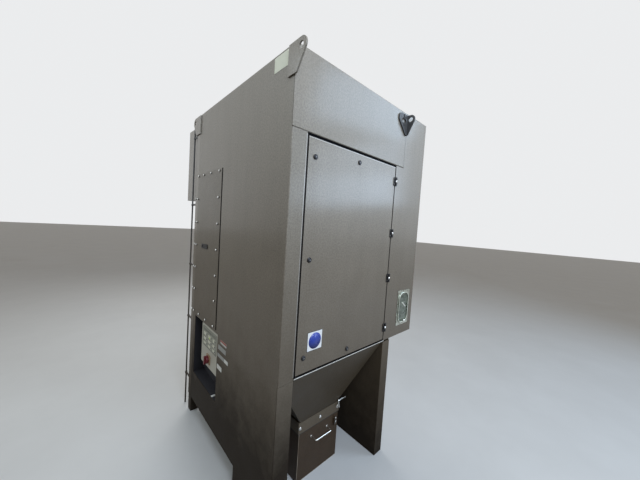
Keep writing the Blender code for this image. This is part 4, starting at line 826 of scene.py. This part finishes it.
def add_sticker():
    """Plain white square with a dark rim of painted shadow round it and a plain blue disc, on the
    door.
    """
    x0, x1, z0, z1 = STICKER
    # Dark rim round the sticker: painted shadow
    edge = (x0 - STICKER_SHADOW_RIM, x1 + STICKER_SHADOW_RIM, z0 - STICKER_SHADOW_RIM, z1 + STICKER_SHADOW_RIM)
    add_patches("door_sticker_shadow", [edge], "dark_film", -SKIN, STICKER_CORNER, FRONT, "door")
    face = -SKIN - PATCH_THICK
    add_film("door_sticker", STICKER, "white_film", face, STICKER_CORNER, FRONT, "door")
    mesh = bmesh.new()
    profile = disc((x1 - x0) * DISC_SHARE, FILM_THICK * 0.7, bottom=0.00005)
    lathe(mesh, profile, spot_matrix(STICKER, face - FILM_THICK, FRONT), steps=64)
    add_piece("door_sticker_disc", mesh, "blue_film", "door")


def add_plates():
    """Plain plates of the left face, two of them with a patch in another colour."""
    face = -SKIN
    add_film("cream_plate", CREAM_PLATE, "cream_film", face, PLATE_CORNER)
    add_film("red_plate", RED_PLATE, "pale_film", face, PLATE_CORNER)
    add_patches("red_plate_band", [RED_PLATE_BAND], "red_film", face - FILM_THICK)
    add_film("grey_plate", GREY_PLATE, "grey_film", face, PLATE_CORNER)
    add_film("long_plate", LONG_PLATE, "grey_film", face, PLATE_CORNER)
    add_patches("long_plate_end", [LONG_PLATE_END], "light_film", face - FILM_THICK)
    add_film("small_plate", SMALL_PLATE, "light_film", face, PLATE_CORNER)


def frame_spots(spot, width):
    """The four thin patches that frame a spot."""
    a0, a1, z0, z1 = spot
    level = [(a0, a1, z0, z0 + width), (a0, a1, z1 - width, z1)]
    return level + [(a0, a0 + width, z0, z1), (a1 - width, a1, z0, z1)]


def add_keypad():
    """Membrane keypad without lettering: a film, framed key fields, header lines and a lamp."""
    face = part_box("control_panel")[0].x - origin.x - SKIN
    add_film("keypad_film", KEYPAD, "panel_film", face, KEYPAD_CORNER)
    fields = [(*column, *row) for column in KEY_COLUMNS for row in KEY_ROWS]
    add_patches("keypad_fields", fields, "key_film", face - FILM_THICK)

    top = face - FILM_THICK - PATCH_THICK
    lines = [line for field in fields for line in frame_spots(field, FIELD_LINE)]
    lines += frame_spots(KEYPAD, KEYPAD_LINE)
    left, right = KEYPAD[0] + HEADER_INSET, KEYPAD[1] - HEADER_INSET
    lines += [(left, right, z, z + HEADER_TALL) for z in HEADER_LEVELS]
    add_patches("keypad_lines", lines, "dark_film", top, LINE_CORNER)
    keys = [
        (y0 + KEY_REACH[0], y0 + KEY_REACH[1], z0 + KEY_MARGIN, z1 - KEY_MARGIN)
        for y0, _, z0, z1 in fields
    ]
    add_patches("keypad_keys", keys, "dark_film", top, KEY_CORNER)
    mesh = bmesh.new()
    lathe(mesh, LAMP_PROFILE, on_face(LEFT, place(face - FILM_THICK * 2, *LAMP_SPOT)), steps=20)
    add_piece("keypad_lamp", mesh, "lamp_film", "cabinet")


def front_strips(spots, face, thick):
    """A mesh of strips x0, x1, z0, z1 in one plane that faces the front."""
    mesh = bmesh.new()
    for x0, x1, z0, z1 in spots:
        outline = rounded_outline(x1 - x0, z1 - z0, min(x1 - x0, z1 - z0) * STRIP_CORNER, steps=3)
        plate(mesh, outline, thick, on_face(FRONT, place((x0 + x1) / 2, face, (z0 + z1) / 2)))
    return mesh


def add_gap_strips():
    """Black strips in the gap round the door: painted shade of the gap."""
    low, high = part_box("filter_door")
    left, right = low.x - origin.x, high.x - origin.x
    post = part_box("left_leg")[1].x - origin.x + SKIN
    hinge_post = right + HINGE_GAP - SKIN
    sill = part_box("door_sill")[1].z
    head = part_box("front_fascia")[0].z
    strips = [
        (post, left - SKIN, low.z, high.z),
        (right + SKIN, hinge_post, low.z, high.z),
        (post, hinge_post, sill + SKIN, low.z - SKIN),
        (post, hinge_post, high.z + SKIN, head - HEAD_ROOM),
    ]
    mesh = front_strips(strips, GAP_STRIP_BACK, GAP_STRIP_BACK - GAP_STRIP_FRONT)
    add_piece("door_gap_shade", mesh, "gap_black", "cabinet")


def add_door_edges():
    """Dark strip along the door's rim, painted shade of the gap, and painted highlights on the
    folded edges next to it.
    """
    low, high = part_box("filter_door")
    left, right, bottom, top = low.x - origin.x, high.x - origin.x, low.z, high.z
    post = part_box("left_leg")[1].x - origin.x - SKIN
    inner_left, inner_right, inner_top = left + RIM_SHADE_LEFT, right - RIM_SHADE_RIGHT, top - RIM_SHADE_TOP
    # Dark strips along the door's rim: painted shade of the gap
    rim_shade = [
        (left, inner_left, bottom, top),
        (inner_right, right, bottom, top),
        (inner_left, inner_right, inner_top, top),
    ]
    # Lighter strips on the folded edges: painted highlight
    door_highlight = [(inner_left, inner_right, inner_top - FOLD_HIGHLIGHT_WIDE, inner_top)]
    post_highlight = [(post - FOLD_HIGHLIGHT_WIDE, post, bottom, top)]
    for name, spots, finish, body, slot in (
        ("door_rim_shade", rim_shade, "gap_black", "door", "seal_rubber"),
        ("door_edge_highlight", door_highlight, "fold_coat", "door", "textured_coat"),
        ("post_edge_highlight", post_highlight, "fold_coat", "cabinet", "textured_coat"),
    ):
        add_piece(name, front_strips(spots, -SKIN / 4, LIP_THICK), finish, body)


def add_lock_cores():
    """Grey insert with a round hollow in the middle of each dark lock."""
    r, h = CORE_RADIUS, CORE_PROUD
    rim = [(0, 0), (r, 0), (r, h * 0.7), (r * 0.85, h)]
    profile = rim + [(r * 0.42, h), (r * 0.40, h * 0.3), (0, h * 0.3)]
    for i in range(1, 6):
        low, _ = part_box(f"door_lock_{i}")
        pivot = pivot_of(f"lock_{i}_turn")
        mesh = bmesh.new()
        lathe(mesh, profile, on_face(FRONT, Vector((pivot.x, low.y - SKIN / 4, pivot.z))), steps=24)
        add_piece(f"lock_core_{i}", mesh, "lock_insert", f"lock_{i}")


def add_hinge_screws():
    """Dull countersunk screws in the hinge leaves."""
    r = LEAF_SCREW_RADIUS
    rim = [(0, 0), (r, 0), (r, 0.0006), (r * 0.8, 0.0013), (r * 0.4, 0.0014)]
    profile = rim + [(r * 0.36, 0.0006), (0, 0.0006)]
    face = origin.y + LEAF_FACE - SKIN / 2
    for side, body, way in (("door", "door", -1), ("post", "cabinet", 1)):
        mesh = bmesh.new()
        for i in range(1, 5):
            low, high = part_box(f"hinge_{side}_leaf_{i}")
            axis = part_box(f"hinge_post_leaf_{i}")[0].x + KNUCKLE
            x = axis + way * LEAF_SCREW_REACH
            for z in (low.z + LEAF_SCREW_INSET, high.z - LEAF_SCREW_INSET):
                lathe(mesh, profile, on_face(FRONT, Vector((x, face, z))), steps=16)
        add_piece(f"hinge_screws_{side}", mesh, "lever_steel", body)


def add_handle_flanges():
    """Round flanges at the feet of the bin's handle."""
    low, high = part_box("bin_handle")
    mesh = bmesh.new()
    for x in (low.x + HANDLE_RADIUS, high.x - HANDLE_RADIUS):
        point = Vector((x, high.y, (low.z + high.z) / 2))
        ring(mesh, HANDLE_FLANGE, on_face(FRONT, point), steps=24)
    add_piece("handle_flanges", mesh, "plated_steel", "bin")


def add_latch_rivets():
    """Domed rivets on the latch's lever and on its plate."""
    low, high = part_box("latch_lever")
    x = (low.x + high.x) / 2
    mesh = bmesh.new()
    for z in LEVER_RIVETS:
        point = Vector((x, low.y + LEVER_LEAN - SKIN / 2, z))
        lathe(mesh, dome(RIVET_RADIUS), on_face(FRONT, point), steps=20)
    add_piece("lever_rivets", mesh, "plated_steel", "latch")
    mesh = bmesh.new()
    point = Vector((x, origin.y + BIN_FRONT - LATCH_PLATE - SKIN / 2, PLATE_RIVET))
    lathe(mesh, dome(RIVET_RADIUS), on_face(FRONT, point), steps=20)
    add_piece("latch_rivets", mesh, "plated_steel", "bin")


def add_hinge_sleeves():
    """Polished sleeve on each middle knuckle, towards the left of its front: painted highlight of
    the knuckle.
    """
    mesh = bmesh.new()
    for i in range(1, 5):
        low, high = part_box(f"hinge_post_leaf_{i}")
        axis = Vector((low.x + KNUCKLE, low.y + KNUCKLE, (low.z + high.z) / 2))
        matrix = Matrix.Translation(axis) @ Matrix.Rotation(math.radians(SLEEVE_TURN), 4, "Z")
        reach = math.radians(SLEEVE_REACH)
        arc_shell(mesh, KNUCKLE + SKIN / 2, SLEEVE_THICK, SLEEVE_TALL, reach, matrix)
    add_piece("hinge_highlight_sleeves", mesh, "plated_steel", "door")


def add_worn_edges():
    """Bare worn metal along the left and lower front edges of the bin."""
    low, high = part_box("dust_bin")
    face = origin.y + BIN_FRONT - SKIN / 2
    mesh = bmesh.new()
    for x0, x1, z0, z1 in (
        (low.x, low.x + WORN_WIDE, low.z + WORN_WIDE, high.z),
        (low.x, high.x, low.z, low.z + WORN_WIDE * 0.8),
    ):
        outline = rounded_outline(x1 - x0, z1 - z0, WORN_WIDE * 0.3, steps=3)
        point = Vector(((x0 + x1) / 2, face, (z0 + z1) / 2))
        plate(mesh, outline, WORN_THICK, on_face(FRONT, point))
    add_piece("bin_worn_edges", mesh, "worn_steel", "bin")


def add_bracket_pin():
    """Upright pin in front of the opening of the angle bracket."""
    mesh = bmesh.new()
    matrix = Matrix.Translation(place(PIN_X, -BRACKET_PROUD - PIN_RADIUS - SKIN, PIN_LOW))
    r, tall = PIN_RADIUS, PIN_HIGH - PIN_LOW
    foot = [(0, 0), (r * 0.8, 0), (r, r * 0.4)]
    lathe(mesh, foot + [(r, tall - r * 0.4), (r * 0.8, tall), (0, tall)], matrix, steps=14)
    add_piece("bracket_pin", mesh, "dark_coat", "cabinet")


def add_plate_ring(name, finish, back, section, smooth):
    """A closed ring on the inspection plate from (margin, corner radius, level) points."""
    low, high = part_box("inspection_plate")
    mid = (low + high) / 2
    matrix = on_face(FRONT, Vector((mid.x, low.y + back, mid.z)))
    mesh = bmesh.new()
    loops = []
    for margin, corner, level in section:
        wide, tall = high.x - low.x - 2 * margin, high.z - low.z - 2 * margin
        points = [Vector((x, y, level)) for x, y in rounded_outline(wide, tall, corner, steps=8)]
        loops.append([mesh.verts.new(matrix @ point) for point in points])
    join_loops(mesh, loops, smooth)
    add_piece(name, mesh, finish, "cabinet")


def add_inspection_rings():
    """Bright bead on the pressed rim of the inspection plate, a painted highlight, and its pale
    flat rim outside it.
    """
    shoulder = BEAD_PROUD * BEAD_SHOULDER
    bead = []
    for share, level in ((0, 0.0), (0, shoulder), (0.5, BEAD_PROUD), (1, shoulder), (1, 0.0)):
        margin = BEAD_MARGIN + share * BEAD_WIDE
        bead.append((margin, BEAD_CORNER - margin, level))
    add_plate_ring("inspection_bead", "bead_zinc", -SKIN / 2, bead, True)
    rim = [(*RIM_OUTSIDE, 0.0), (*RIM_OUTSIDE, LIP_THICK)]
    rim += [(*RIM_INSIDE, LIP_THICK), (*RIM_INSIDE, 0.0)]
    add_plate_ring("inspection_rim", "rim_zinc", FLAT_BACK - SKIN / 4, rim, False)


def add_inspection_fastener():
    """Short slanting bar and round knob that hold the inspection plate."""
    low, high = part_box("inspection_plate")
    mid = (low + high) / 2
    mesh = bmesh.new()
    face = low.y + FLAT_BACK - SKIN / 2
    matrix = on_face(FRONT, Vector((mid.x + BAR_SPOT[0], face, mid.z + BAR_SPOT[1])))
    matrix = matrix @ Matrix.Rotation(math.radians(BAR_TURN), 4, "Z")
    outline = rounded_outline(*BAR_SIZE, BAR_SIZE[1] * 0.4, steps=3)
    plate(mesh, outline, BAR_THICK, matrix, BAR_SLOPE)
    face = low.y - SKIN / 2 - BEAD_PROUD
    matrix = on_face(FRONT, Vector((mid.x + KNOB_SPOT[0], face, mid.z + KNOB_SPOT[1])))
    lathe(mesh, dome(KNOB_RADIUS), matrix, steps=20)
    add_piece("inspection_fastener", mesh, "fastener_zinc", "cabinet")


def add_recess_strip():
    """Short pale strip that lies on the floor of the recess."""
    x0, x1, y0, y1 = RECESS_STRIP
    mesh = bmesh.new()
    outline = rounded_outline(x1 - x0, y1 - y0, RECESS_STRIP_CORNER, steps=3)
    matrix = Matrix.Translation(place((x0 + x1) / 2, (y0 + y1) / 2, RECESS_FLOOR + SKIN))
    plate(mesh, outline, RECESS_STRIP_THICK, matrix, RECESS_STRIP_SLOPE)
    add_piece("recess_strip", mesh, "light_film", "cabinet")


# Stage


def make_world():
    """Plain backdrop for camera, glossy and transmission rays, and a soft warm fill for others."""
    world = bpy.data.worlds.new("studio")
    bpy.context.scene.world = world
    world.use_nodes = True
    nodes, links = world.node_tree.nodes, world.node_tree.links
    nodes.clear()
    output = nodes.new("ShaderNodeOutputWorld")
    seen = nodes.new("ShaderNodeBackground")
    seen.inputs["Color"].default_value = (*BACKDROP, 1)
    seen.inputs["Strength"].default_value = BACKDROP_STRENGTH
    fill = nodes.new("ShaderNodeBackground")
    fill.inputs["Color"].default_value = (*FILL, 1)
    fill.inputs["Strength"].default_value = FILL_STRENGTH
    path = nodes.new("ShaderNodeLightPath")
    rays = path.outputs["Is Camera Ray"]
    for name in ("Is Glossy Ray", "Is Transmission Ray"):
        largest = nodes.new("ShaderNodeMath")
        largest.operation = "MAXIMUM"
        links.new(rays, largest.inputs[0])
        links.new(path.outputs[name], largest.inputs[1])
        rays = largest.outputs[0]
    chosen = nodes.new("ShaderNodeMixShader")
    links.new(rays, chosen.inputs["Fac"])
    links.new(fill.outputs[0], chosen.inputs[1])
    links.new(seen.outputs[0], chosen.inputs[2])
    links.new(chosen.outputs[0], output.inputs["Surface"])


def make_lights():
    """Soft rectangular panels, each aimed at its target and rolled about its own axis."""
    for name, location, target, size, power, colour, roll in LAMPS:
        data = bpy.data.lights.new(name, "AREA")
        data.shape = "RECTANGLE"
        data.size, data.size_y = size
        data.energy = power
        data.color = colour
        lamp = bpy.data.objects.new(name, data)
        lamp.location = location
        aim = (Vector(target) - Vector(location)).to_track_quat("-Z", "Y").to_matrix()
        lamp.rotation_euler = (aim @ Matrix.Rotation(math.radians(roll), 3, "Z")).to_euler()
        bpy.context.scene.collection.objects.link(lamp)


def make_floor():
    """Pale floor that throws little light up: diffuse rays meet a darker colour."""
    mesh = bmesh.new()
    bmesh.ops.create_grid(mesh, x_segments=1, y_segments=1, size=FLOOR_REACH)
    data = bpy.data.meshes.new("floor")
    mesh.to_mesh(data)
    mesh.free()
    s = Shader("pale_floor")
    cloud = s.noise(*FLOOR_CLOUD)
    path = s.nodes.new("ShaderNodeLightPath").outputs
    shown = s.math("MAXIMUM", path["Is Camera Ray"], path["Is Glossy Ray"])
    shown = s.math("MAXIMUM", shown, path["Is Transmission Ray"])
    colour = s.mix(s.spread(cloud, *NOISE_RANGE), *FLOOR_COLOURS)
    colour = s.mix(shown, FLOOR_BOUNCE, colour)
    roughness = s.spread(cloud, *NOISE_RANGE, to_low=0.55, to_high=0.7)
    normal = s.bump(s.noise(90.0), strength=0.05, distance=0.001)
    data.materials.append(s.finish(colour, roughness, normal))
    floor = bpy.data.objects.new("floor", data)
    floor.location.z = -FLOOR_DROP
    bpy.context.scene.collection.objects.link(floor)


def make_camera():
    """Camera at the photograph's place and angle."""
    data = bpy.data.cameras.new("camera")
    data.lens = CAMERA_LENS
    data.sensor_width = SENSOR_WIDTH
    data.clip_start = CLIP_START
    camera = bpy.data.objects.new("camera", data)
    turn = Matrix.Rotation(math.radians(-CAMERA_HEADING), 3, "Z")
    tilt = Matrix.Rotation(math.radians(90 + CAMERA_PITCH), 3, "X")
    roll = Matrix.Rotation(math.radians(CAMERA_ROLL), 3, "Z")
    stand = Matrix.Translation(place(*CAMERA_PLACE))
    camera.matrix_world = stand @ (turn @ tilt @ roll).to_4x4()
    bpy.context.scene.collection.objects.link(camera)
    bpy.context.scene.camera = camera
    bpy.context.scene.view_settings.view_transform = "Standard"


dress_nodes()
add_cover_screws()
add_cover_lip()
add_collar_bolts()
add_sticker()
add_plates()
add_keypad()
add_gap_strips()
add_door_edges()
add_lock_cores()
add_hinge_screws()
add_handle_flanges()
add_latch_rivets()
add_hinge_sleeves()
add_worn_edges()
add_bracket_pin()
add_inspection_rings()
add_inspection_fastener()
add_recess_strip()
make_world()
make_lights()
make_floor()
make_camera()
